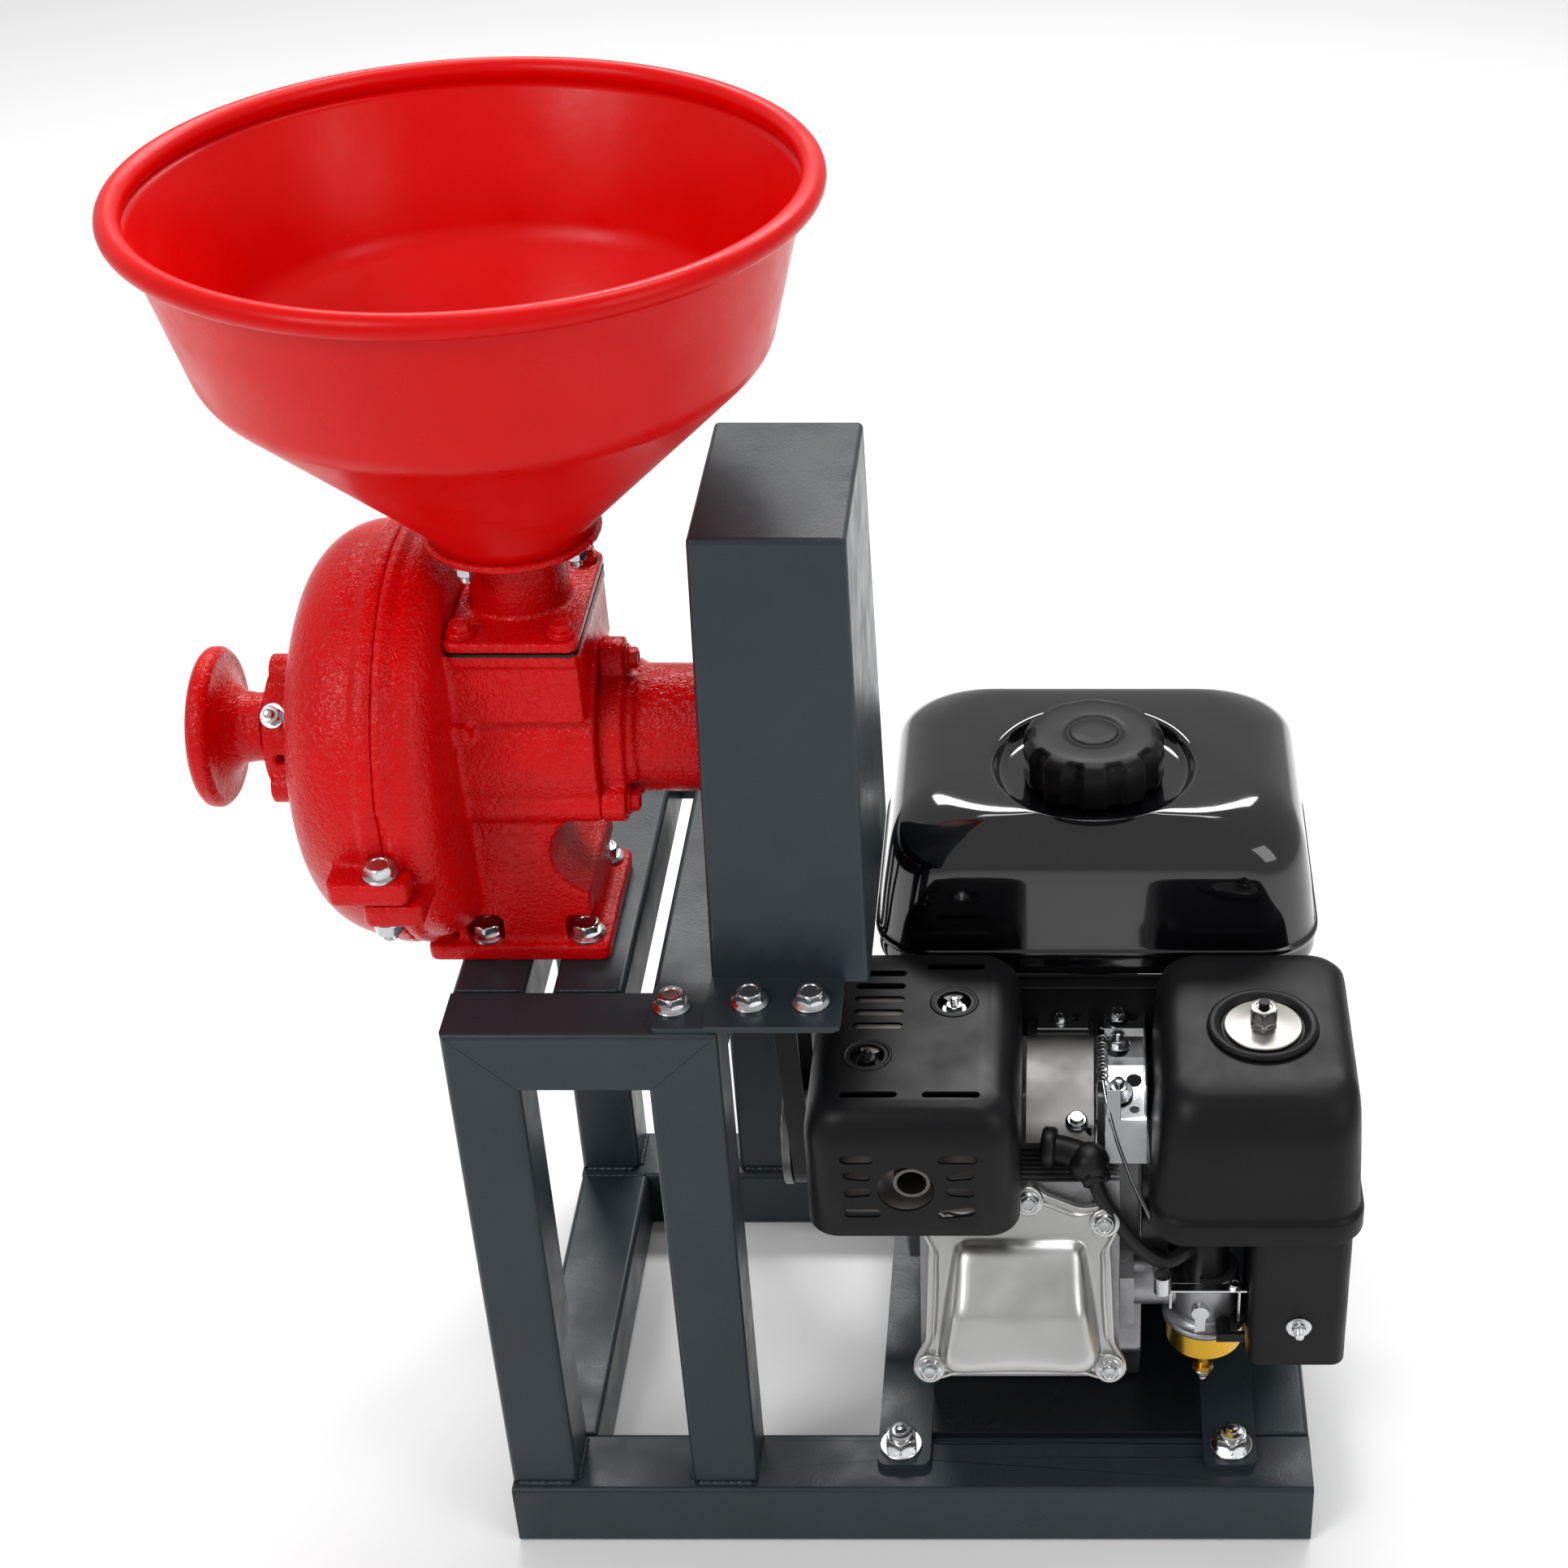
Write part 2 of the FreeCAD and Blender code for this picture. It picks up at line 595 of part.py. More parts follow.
def lug(name, side, span, low, high):
    """One ear of a clamp pair: a block beside the seam. side is -1 in front and 1 at the back."""
    left, right = span
    deep = s.lug_out - s.drum_rad + 14
    inner = s.mill_y + (s.drum_rad - 14) * side
    corner_y = inner if side > 0 else inner - deep
    size = (as_size(right) - left, deep, as_size(high) - low)
    block = box(f"{name}_block", machine(s.seam + left, corner_y, s.mill_z + low), size)
    return rounded(name, block, as_size(5), along("z"))


def lug_hole(side):
    return machine(s.seam, s.mill_y + (s.lug_out - 9) * side, s.mill_z)


def flange_spots():
    """Y and Z of the three bolts that hold the bearing housing."""
    return [
        (s.mill_y + s.ear_rad * math.cos(math.radians(a)), s.mill_z + s.ear_rad * math.sin(math.radians(a)))
        for a in (90, 212, 328)
    ]


def make_mill_body():
    drum = drum_half("body_drum", (s.seam, s.drum_back), s.seam, s.barrel_bore)
    barrel_len = s.barrel_end - s.drum_back + 10
    barrel = cylinder("body_barrel", on_axis(s.drum_back - 10), s.barrel_rad, barrel_len, "x")
    chute_size = (s.chute_right - s.chute_left, s.chute_half * 2, s.inlet_flange - s.mill_z - 30)
    chute = box("body_chute", machine(s.chute_left, s.mill_y - s.chute_half, s.mill_z + 30), chute_size)
    inlet_size = (s.inlet_len, s.inlet_half * 2, s.inlet_thick)
    inlet = box("body_inlet", machine(s.inlet_left, s.mill_y - s.inlet_half, s.inlet_flange), inlet_size)
    inlet = rounded("body_inlet_soft", inlet, as_size(5), along("z"))
    ears = []
    for n, (y, z) in enumerate(flange_spots()):
        start = s.barrel_end - 12 if n == 0 else s.drum_back - 10
        ears.append(cylinder(f"body_ear_{n}", machine(start, y, z), s.ear_round, s.barrel_end - start, "x"))
    foot_size = (s.foot_right - s.foot_left, s.foot_back - s.foot_front, s.foot_thick)
    foot = box("body_foot", machine(s.foot_left, s.foot_front, s.table_top), foot_size)
    foot = rounded("body_foot_soft", foot, as_size(5), along("z"))
    web_size = (s.web_right, s.foot_back - s.foot_front - 10, s.mill_z - 10 - s.table_top)
    web_block = box("body_web_block", machine(0, s.foot_front + 5, s.table_top), web_size)
    arch_at = machine(s.arch_x, s.foot_front - 20, s.arch_z)
    arch = cylinder("body_arch", arch_at, s.arch_rad, s.foot_back - s.foot_front + 40, "y")
    web = cut("body_web", web_block, [arch])
    boss_at = machine(s.boss_x, s.mill_y - s.barrel_rad - 4, s.mill_z + s.boss_up)
    boss = cylinder("body_boss", boss_at, s.boss_round, 24, "y")
    lugs = [lug(f"body_lug_{n}", side, (-10, 20), -s.lug_split - 12, -s.lug_split) for n,
            side in enumerate((-1, 1))]
    solid = join("body_solid", [drum, barrel, chute, inlet, foot, web, boss] + ears + lugs)

    hollow_len = s.drum_back - s.seam - s.drum_wall + 30
    hollow = cylinder("body_hollow", on_axis(s.seam - 30), s.drum_rad - s.drum_wall, hollow_len, "x")
    seam_x = (s.seam - s.origin_x).value
    hollow_soft = rounded(
        "body_hollow_soft", hollow, s.drum_round - s.drum_wall,
        lambda edge: isinstance(edge.Curve, Part.Circle) and edge.Curve.Center.x > seam_x,
    )
    bore = cylinder("body_bore", on_axis(s.seam - 30), s.barrel_bore, s.barrel_end - s.seam + 60, "x")
    throat_low = s.mill_z + 26
    throat = box("body_throat", *throat_box(throat_low, s.inlet_flange + 20 - throat_low))
    way_size = (s.chute_right - s.chute_left - 2 * s.throat_wall_x, s.barrel_bore * 2 - 8, 60)
    way_at = machine(s.chute_left + s.throat_wall_x, s.mill_y - s.barrel_bore + 4, s.mill_z)
    shaft_way = box("body_throat_low", way_at, way_size)
    cover_side = cylinder("body_cover_side", on_axis(s.seam - 60), s.drum_rad + s.seam_rib + 0.3, 60, "x")
    under_table = box("body_under", machine(s.foot_left - 60, s.foot_front - 60, 300),
                      (300, 300, s.table_top - 300))
    tools = [hollow_soft, bore, throat, shaft_way, cover_side, under_table]
    tools += holes("foot_cut", FOOT_SPOTS, s.bolt_rad, s.table_top - 1, s.table_top + 20)
    tools += [
        cylinder(f"foot_seat_{n}", machine(x, y, s.table_top + s.foot_thick), s.bolt_washer + 1, 16)
        for n, (x, y) in enumerate(FOOT_SPOTS)
    ]
    tools += holes("inlet_cut", INLET_SPOTS, s.bolt_rad, s.inlet_flange - 10, s.inlet_flange + 10)
    for n, (y, z) in enumerate(flange_spots()):
        tools.append(cylinder(f"ear_cut_{n}", machine(s.barrel_end - 20, y, z), s.bolt_rad + s.hole_gap, 30,
                              "x"))
    subpart("mill_body", cut("mill_body", solid, tools + lug_tools("body")))


def throat_box(low, high):
    """Corner and size of the rectangular grain passage, from a height up by high."""
    corner = machine(s.chute_left + s.throat_wall_x, s.mill_y - s.chute_half + s.throat_wall_y, low)
    size = (s.chute_right - s.chute_left - 2 * s.throat_wall_x, 2 * (s.chute_half - s.throat_wall_y), high)
    return corner, size


def lug_tools(name):
    """Holes for the clamp bolts, with a flat seat round each bolt's head."""
    tools = []
    for n, side in enumerate((-1, 1)):
        x, y, z = lug_hole(side)
        tools.append(cylinder(f"{name}_lug_cut_{n}", (x, y, z - 60), s.bolt_rad + s.hole_gap, 80))
        tools.append(cylinder(f"{name}_lug_seat_{n}", (x, y, z - s.lug_split + 13), 8.5, 30))
    return tools


def make_front_cover():
    round_rad = s.drum_wall + 32
    wall = s.drum_wall
    length = s.seam - s.drum_front
    rim = s.seam_rib_wide + 3
    profile = [
        (s.cap_rad - 6, length), (s.drum_rad, length), (s.drum_rad, rim), (s.drum_rad + s.seam_rib, rim),
        (s.drum_rad + s.seam_rib, 0), (s.drum_rad - wall, 0), (s.drum_rad - wall, length - wall),
        (s.cap_rad - 6, length - wall),
    ]
    drum = turned("cover_drum", profile, on_axis(s.seam), "-x")
    soften(drum, round_rad, round_at(s.drum_rad.value, length.value), "cover_round")
    soften(drum, round_rad - wall, round_at((s.drum_rad - wall).value, (length - wall).value),
           "cover_inner_round")
    lugs = [lug(f"cover_lug_{n}", side, (-26, 14), 0.3 - s.lug_split, 13 - s.lug_split) for n,
            side in enumerate((-1, 1))]
    solid = join("cover_solid", [drum] + lugs)
    front = on_axis(s.drum_front + wall)
    hollow = cylinder("cover_hollow", front, s.drum_rad - wall, s.seam + 30 - s.drum_front, "x")
    seam_x = (s.seam - s.origin_x).value
    hollow = rounded(
        "cover_hollow_soft", hollow, round_rad - wall,
        lambda edge: isinstance(edge.Curve, Part.Circle) and edge.Curve.Center.x < seam_x,
    )
    body_side = cylinder("cover_body_side", on_axis(s.seam), s.drum_rad + s.seam_rib + 0.3, 60, "x")
    mouth_at = machine(s.mouth_left, s.mill_y - s.mouth_half, s.mill_z - s.drum_rad - 20)
    mouth = box("cover_mouth", mouth_at, (s.mouth_right - s.mouth_left, s.mouth_half * 2, 60))
    tools = [hollow, mouth, body_side] + lug_tools("cover")
    subpart("front_cover", cut("front_cover", solid, tools))


make_mill_body()
make_front_cover()


def make_clamp_bolts():
    bolts = []
    for n, side in enumerate((-1, 1)):
        x, y, z = lug_hole(side)
        top = z - s.lug_split + 13
        low = z - s.lug_split - 12
        washer = cylinder(f"clamp_washer_{n}", (x, y, top), 7.5, s.washer_thick)
        head = hexagon(f"clamp_head_{n}", (x, y, top + s.washer_thick), s.bolt_flats, s.bolt_head)
        shank = cylinder(f"clamp_shank_{n}", (x, y, low - 9), s.bolt_rad, 34 + s.washer_thick)
        nut = hexagon(f"clamp_nut_{n}", (x, y, low - s.bolt_head), s.bolt_flats, s.bolt_head)
        bolts.append(join(f"clamp_bolt_{n}", [washer, head, shank, nut]))
    subpart("clamp_bolts", group("clamp_bolts", bolts))


make_clamp_bolts()


# ---- adjuster


def make_adjuster():
    wall = s.drum_front + s.drum_wall
    deep = wall - s.cap_front
    bore = s.spindle_rad + s.running_gap
    recess = s.cap_recess_deep
    profile = [
        (s.cap_recess, 0), (s.cap_rad - 3, 0), (s.cap_rad - 3, s.drum_front - s.cap_front - 2),
        (s.cap_rad - 6, s.drum_front - s.cap_front - 2), (s.cap_rad - 6, deep), (bore, deep),
        (bore, recess), (s.cap_recess, recess),
    ]
    ring = turned("cap_ring", profile, on_axis(s.cap_front))
    place(ring, on_axis(s.cap_front), TURN["x"])
    lobes = []
    for n in range(3):
        angle = math.radians(90 + 120 * n)
        y = s.mill_y + (s.cap_rad - 2) * math.cos(angle)
        z = s.mill_z + (s.cap_rad - 2) * math.sin(angle)
        lobes.append(cylinder(f"cap_lobe_{n}", machine(s.cap_front + 2, y, z), 9,
                              s.drum_front - s.cap_front - 4, "x"))
    solid = join("cap_solid", [ring] + lobes)
    tap = cylinder("cap_tap", machine(s.cap_front + 9, s.mill_y - s.cap_rad - 20, s.mill_z), 3.2, 90, "y")
    core = cylinder("cap_core", on_axis(s.cap_front - 5), bore, 60, "x")
    recess_cut = cylinder("cap_recess_cut", on_axis(s.cap_front - 5), s.cap_recess, recess + 5, "x")
    subpart("adjuster_cap", cut("adjuster_cap", solid, [core, recess_cut, tap]))

    screw_x = s.cap_front + 9
    start_y = s.mill_y - s.cap_rad - 12
    shank = cylinder("lock_shank", machine(screw_x, start_y, s.mill_z), 3,
                     s.cap_rad + 12 - s.spindle_rad - 0.4, "y")
    head = hexagon("lock_head", machine(screw_x, start_y - 5, s.mill_z), 10, 5, "y")
    nut = hexagon("lock_nut", machine(screw_x, start_y + 2, s.mill_z), 10, 4, "y")
    subpart("adjuster_lock_screw", join("adjuster_lock_screw", [shank, head, nut]))

    front = s.wheel_front
    hub_len = s.hub_end - front
    rim = s.wheel_rim
    wheel_profile = [
        (s.spindle_rad, 0), (14, 0), (20, 4), (s.wheel_rad - 12, 4), (s.wheel_rad - 8, 0),
                     (s.wheel_rad - 3, 0),
        (s.wheel_rad, 3), (s.wheel_rad, rim - 3), (s.wheel_rad - 3, rim), (s.wheel_rad - 9, rim),
        (s.wheel_rad - 13, rim + 1), (24, rim + 3), (19, rim + 9), (s.hub_rad, rim + 15),
        (s.hub_rad, hub_len), (s.spindle_rad, hub_len),
    ]
    wheel = turned("wheel_turned", wheel_profile, on_axis(front), "x")
    subpart("adjuster_handwheel", wheel)
    plate_back = s.turning_face - s.grind_gap - s.disc_thick
    spindle_len = plate_back - 6.3 - front - 1
    spindle = cylinder("spindle_rod", on_axis(front + 1), s.spindle_rad, spindle_len, "x")
    subpart("adjuster_spindle", spindle)


# ---- grinding plates, shaft and feed screw


def plate_with_grooves(name, face_x, facing, bore):
    """A grinding plate with radial grooves in its working face. facing is +1 or -1 along X."""
    back_x = face_x - s.disc_thick * facing
    start = back_x if facing > 0 else face_x
    disc = cylinder(f"{name}_disc", on_axis(start), s.plate_rad, s.disc_thick, "x")
    tools = [cylinder(f"{name}_bore", on_axis(start - 5), bore, s.disc_thick + 10, "x")]
    for n in range(18):
        groove = doc.addObject("Part::Box", f"{name}_groove_{n}")
        for prop, length in (("Length", 3), ("Width", 3), ("Height", s.plate_rad)):
            bind(groove, prop, length)
        spin = FreeCAD.Rotation(FreeCAD.Vector(1, 0, 0), 20.0 * n + 7)
        offset = spin.multVec(FreeCAD.Vector(0, 0, 46))
        place(groove, machine(face_x - 1.5, s.mill_y + offset.y, s.mill_z + offset.z), spin)
        tools.append(groove)
    return cut(name, disc, tools)


def make_plates():
    fixed_face = s.turning_face - s.grind_gap
    ring = plate_with_grooves("fixed_ring", fixed_face, 1, s.barrel_bore)
    back_x = fixed_face - s.disc_thick
    carrier = cylinder("fixed_carrier", on_axis(back_x - 6), 60, 6, "x")
    subpart("fixed_plate", join("fixed_plate", [ring, carrier]))
    turning = plate_with_grooves("turning_ring", s.turning_face, -1, s.barrel_bore)
    back = cylinder("turning_back", on_axis(s.turning_face + s.disc_thick), 70, 7, "x")
    eye = cylinder("turning_eye", on_axis(s.turning_face + s.disc_thick - 5), s.shaft_rad, 30, "x")
    solid = join("turning_solid", [turning, back])
    subpart("turning_plate", cut("turning_plate", solid, [eye]))


def make_shaft():
    start = s.turning_face + s.disc_thick
    rod = cylinder("shaft_rod", on_axis(start), s.shaft_rad, s.shaft_end - start, "x")
    nut = hexagon("shaft_nut", on_axis(s.pulley_left + s.pulley_wide + 1), 36, 5, "x")
    subpart("mill_shaft", join("mill_shaft", [rod, nut]))

    first = s.drum_back + 1
    length = s.barrel_end - first - 4
    turns = s.screw_turns
    sleeve = cylinder("screw_sleeve", on_axis(first), s.shaft_rad + 4, length, "x")
    path = doc.addObject("Part::Helix", "screw_path")
    bind(path, "Pitch", (length - 6) / turns)
    bind(path, "Height", length - 6)
    bind(path, "Radius", s.shaft_rad + 3)
    profile = doc.addObject("Part::Feature", "screw_profile")
    inner = (s.shaft_rad + 3).value
    outer = s.screw_rad.value
    corners = [(inner, -1.5), (outer, -1.5), (outer, 1.5), (inner, 1.5), (inner, -1.5)]
    profile.Shape = Part.makePolygon([FreeCAD.Vector(r, 0, z) for r, z in corners])
    flight = doc.addObject("Part::Sweep", "screw_flight")
    flight.Sections = [profile]
    flight.Spine = (path, ["Edge1"])
    flight.Solid = True
    flight.Frenet = True
    place(flight, on_axis(first + 3), TURN["x"])
    solid = join("screw_solid", [sleeve, flight])
    bore = cylinder("screw_bore", on_axis(first - 5), s.shaft_rad, length + 10, "x")
    subpart("feed_screw", cut("feed_screw", solid, [bore]))


# ---- bearing housing


def make_bearing_housing():
    flange = cylinder("housing_flange", on_axis(s.barrel_end), s.housing_rad + 6, s.housing_flange, "x")
    tube = cylinder("housing_tube", on_axis(s.barrel_end), s.housing_rad, s.housing_end - s.barrel_end, "x")
    collar = cylinder("housing_collar", on_axis(s.barrel_end), s.housing_rad + 2.5, s.housing_flange + 5, "x")
    parts = [flange, tube, collar]
    tools = [cylinder("housing_bore", on_axis(s.barrel_end - 5), s.bearing_rad, 200, "x")]
    bolts = []
    for n, (y, z) in enumerate(flange_spots()):
        parts.append(cylinder(f"housing_ear_{n}", machine(s.barrel_end, y, z), s.ear_round, s.housing_flange,
                              "x"))
        spot = machine(s.barrel_end - 5, y, z)
        tools.append(cylinder(f"housing_cut_{n}", spot, s.bolt_rad + s.hole_gap, 60, "x"))
        seat = machine(s.barrel_end + s.housing_flange, y, z)
        tools.append(cylinder(f"housing_seat_{n}", seat, s.bolt_washer, 20, "x"))
        bolts.append(bolt(f"housing_bolt_{n}", seat, s.housing_flange + 12, "x", 0.75))
    subpart("bearing_housing", cut("bearing_housing", join("housing_solid", parts), tools))
    for n, (x, y) in enumerate(INLET_SPOTS):
        seat = machine(x, y, s.inlet_flange + 2 * s.inlet_thick + s.gasket_thick)
        bolts.append(bolt(f"inlet_bolt_{n}", seat, 17, "z", 0.75))
    subpart("casting_bolts", group("casting_bolts", bolts))

    outers = []
    inners = []
    middle = (s.bearing_rad + s.shaft_rad) / 2
    ball = 3.9
    for n, start in enumerate((s.bearing_near, s.bearing_far)):
        half = s.bearing_wide / 2
        groove = torus(f"race_{n}", on_axis(start + half), middle, ball + 0.08, "x")
        ring = cylinder(f"outer_race_{n}", on_axis(start), s.bearing_rad, s.bearing_wide, "x")
        room = cylinder(f"outer_room_{n}", on_axis(start - 1), s.bearing_rad - 4, s.bearing_wide + 2, "x")
        outers.append(cut(f"outer_ring_{n}", ring, [room, groove]))
        ring = cylinder(f"inner_race_{n}", on_axis(start), s.shaft_rad + 4, s.bearing_wide, "x")
        room = cylinder(f"inner_room_{n}", on_axis(start - 1), s.shaft_rad, s.bearing_wide + 2, "x")
        groove = torus(f"inner_groove_{n}", on_axis(start + half), middle, ball, "x")
        inners.append(cut(f"inner_ring_{n}", ring, [room, groove]))
        for k in range(9):
            angle = math.radians(40 * k)
            y = s.mill_y + middle * math.cos(angle)
            z = s.mill_z + middle * math.sin(angle)
            inners.append(sphere(f"ball_{n}_{k}", machine(start + half, y, z), ball - 0.02))
    subpart("bearing_outer_rings", group("bearing_outer_rings", outers))
    subpart("bearing_inner_sets", group("bearing_inner_sets", inners))
    seal = cylinder("seal_ring", on_axis(s.barrel_end + 4), s.bearing_rad, 8, "x")
    room = cylinder("seal_room", on_axis(s.barrel_end), s.shaft_rad + s.running_gap, 20, "x")
    subpart("shaft_seal", cut("shaft_seal", seal, [room]))


# ---- drive


def pulley(name, centre, radius, bore):
    """A one-groove pulley about an X axis, 0.3 mm clear of the belt."""
    wide = s.pulley_wide
    mid = wide / 2
    deep = s.belt_deep + 3
    half_top = s.belt_wide / 2 + 0.9
    half_low = s.belt_wide / 2 - 2.6
    profile = [
        (bore, 0), (radius, 0), (radius, mid - half_top), (radius - deep, mid - half_low),
        (radius - deep, mid + half_low), (radius, mid + half_top), (radius, wide), (bore, wide),
    ]
    return turned(name, profile, centre, "x")


def belt_loop(inset, half_width):
    """The closed line of a belt round both pulleys, at one depth, as a wire."""
    first_rad = s.mill_pulley_rad.value - inset
    second_rad = s.engine_pulley_rad.value - inset
    first = FreeCAD.Vector(half_width, s.mill_y.value, s.mill_z.value)
    second = FreeCAD.Vector(half_width, s.crank_y.value, s.crank_z.value)
    span = (second - first).Length
    lean = math.atan2(second.z - first.z, second.y - first.y)
    spread = math.acos((first_rad - second_rad) / span)

    def spot(centre, radius, angle):
        return centre + FreeCAD.Vector(0, math.cos(angle), math.sin(angle)) * radius

    a_side, b_side = lean + spread, lean - spread
    first_arc = Part.Arc(
        spot(first, first_rad, a_side), spot(first, first_rad, lean + math.pi), spot(first, first_rad, b_side)
    )
    second_arc = Part.Arc(
        spot(second, second_rad, b_side), spot(second, second_rad, lean), spot(second, second_rad, a_side)
    )
    edges = [
        first_arc.toShape(), Part.makeLine(spot(first, first_rad, b_side), spot(second, second_rad, b_side)),
        second_arc.toShape(), Part.makeLine(spot(second, second_rad, a_side), spot(first, first_rad, a_side)),
    ]
    return Part.Wire(edges)


def make_drive():
    wheel = pulley("mill_pulley_turned", on_axis(s.pulley_left), s.mill_pulley_rad, s.shaft_rad)
    subpart("mill_pulley", wheel)
    spot = machine(s.pulley_left, s.crank_y, s.crank_z)
    wheel = pulley("engine_pulley_turned", spot, s.engine_pulley_rad, s.crank_rad)
    subpart("engine_pulley", wheel)
    half = s.belt_wide.value / 2
    low_half = half - 2.2
    deep = s.belt_deep.value
    belt = doc.addObject("Part::Feature", "v_belt")
    belt.Shape = trapezoid_belt(half, low_half, deep)
    place(belt, machine(s.pulley_left + s.pulley_wide / 2, 0, 0))
    subpart("v_belt", belt)


def trapezoid_belt(half, low_half, deep):
    """A belt whose sides lean in: its four faces are lofts between four loops."""
    top_left = belt_loop(1.0, -half)
    top_right = belt_loop(1.0, half)
    low_right = belt_loop(1.0 + deep, low_half)
    low_left = belt_loop(1.0 + deep, -low_half)
    faces = []
    for one, two in ((top_left, top_right), (top_right, low_right), (low_right, low_left),
                     (low_left, top_left)):
        faces.extend(Part.makeLoft([one, two], False, True).Faces)
    shell = Part.makeShell(faces)
    solid = Part.makeSolid(shell)
    if solid.Volume < 0:
        solid.reverse()
    return solid


# ---- inlet and hopper


def make_inlet():
    base_z = s.inlet_flange + s.inlet_thick
    spot = machine(s.inlet_left, s.mill_y - s.inlet_half, base_z)
    size = (s.inlet_len, s.inlet_half * 2, s.gasket_thick)
    sheet_box = rounded("gasket_soft", box("gasket_box", spot, size), as_size(6), along("z"))
    window = box("gasket_window", *throat_box(base_z - 5, 20))
    tools = holes("gasket_cut", INLET_SPOTS, s.bolt_rad, base_z - 1, base_z + 5)
    subpart("inlet_gasket", cut("inlet_gasket", sheet_box, [window] + tools))

    plate_z = base_z + s.gasket_thick
    spot = machine(s.inlet_left, s.mill_y - s.inlet_half, plate_z)
    size = (s.inlet_len, s.inlet_half * 2, s.inlet_thick)
    plate = rounded("neck_plate_soft", box("neck_plate", spot, size), as_size(6), along("z"))
    neck_top = s.ring_z - plate_z
    profile = [
        (s.neck_bore, 0), (s.neck_rad, 0), (s.neck_rad, neck_top - 6), (s.neck_rad + 4, neck_top),
        (s.ring_rad, neck_top), (s.ring_rad, neck_top + s.ring_thick), (s.neck_bore, neck_top + s.ring_thick),
    ]
    neck = turned("neck_turned", profile, machine(s.hopper_x, s.mill_y, plate_z))
    bore = cylinder("neck_way", machine(s.hopper_x, s.mill_y, plate_z - 5), s.neck_bore, 20)
    tools = holes("neck_cut", INLET_SPOTS, s.bolt_rad, plate_z - 1, plate_z + 10)
    tools += holes("neck_tap", hopper_spots(), s.hopper_bolt, s.ring_z - 1, s.ring_z + 6)
    subpart("inlet_neck", cut("inlet_neck", join("neck_solid", [plate, neck]), [bore] + tools))


def hopper_spots():
    """X and Y of the three screws between the hopper and its neck."""
    turns = [math.radians(a) for a in (240, 335, 95)]
    return [(s.hopper_x + s.hopper_screw * math.cos(a),
             s.mill_y + s.hopper_screw * math.sin(a)) for a in turns]


def make_hopper():
    w = s.hopper_wall
    start = s.ring_z + s.ring_thick
    profile = [
        (s.neck_bore, 0), (s.throat_rad, 0), (s.throat_rad, s.throat_z - start),
        (s.crease_rad, s.crease_z - start), (s.rim_rad - 3, s.rim_z - start),
               (s.rim_rad - 3 - w, s.rim_z - start),
        (s.crease_rad - w, s.crease_z + 0.6 - start), (s.throat_rad - w, s.throat_z + 0.6 - start),
        (s.throat_rad - w, w), (s.neck_bore, w),
    ]
    shell = turned("hopper_turned", profile, machine(s.hopper_x, s.mill_y, start))
    fold = s.crease_z - start
    soften(shell, s.hopper_fold, round_at(s.crease_rad.value, fold.value, 0.8), "hopper_fold")
    inner_fold = round_at((s.crease_rad - w).value, fold.value + 0.6, 0.3)
    soften(shell, s.hopper_fold - w, inner_fold, "hopper_inner_fold")
    bead = torus("hopper_bead", machine(s.hopper_x, s.mill_y, s.rim_z), s.rim_rad, s.bead_rad)
    solid = join("hopper_solid", [shell, bead])
    spots = hopper_spots()
    subpart("hopper", cut("hopper", solid, holes("hopper_tap", spots, s.hopper_bolt, start - 1, start + 3)))
    screws = []
    top = start + w
    for n, (x, y) in enumerate(spots):
        rod = cylinder(f"hopper_rod_{n}", machine(x, y, s.ring_z - 8), s.hopper_bolt, 8 + s.ring_thick + w)
        head = cylinder(f"hopper_head_{n}", machine(x, y, top), 3.8, 3)
        nut = hexagon(f"hopper_nut_{n}", machine(x, y, s.ring_z - 5), 10, 5)
        screws.append(join(f"hopper_screw_{n}", [rod, head, nut]))
    subpart("hopper_screws", group("hopper_screws", screws))


make_adjuster()
make_plates()
make_shaft()
make_bearing_housing()
make_drive()
make_inlet()
make_hopper()


# ---- engine


def tilted(local, out):
    """A place on the cylinder's tilted frame: local (x, up the face), out along the cylinder."""
    angle = math.radians(s.tilt.value)
    x, up = local
    y = s.head_face_y + as_size(up) * math.sin(angle) - as_size(out) * math.cos(angle)
    z = s.head_face_z + as_size(up) * math.cos(angle) + as_size(out) * math.sin(angle)
    return machine(s.head_x + x, y, z)


HEAD_TURN = FreeCAD.Rotation(FreeCAD.Vector(1, 0, 0), 90 - SIZES["tilt"])
PLUG_TURN = FreeCAD.Rotation(FreeCAD.Vector(1, 0, 0), -SIZES["tilt"])


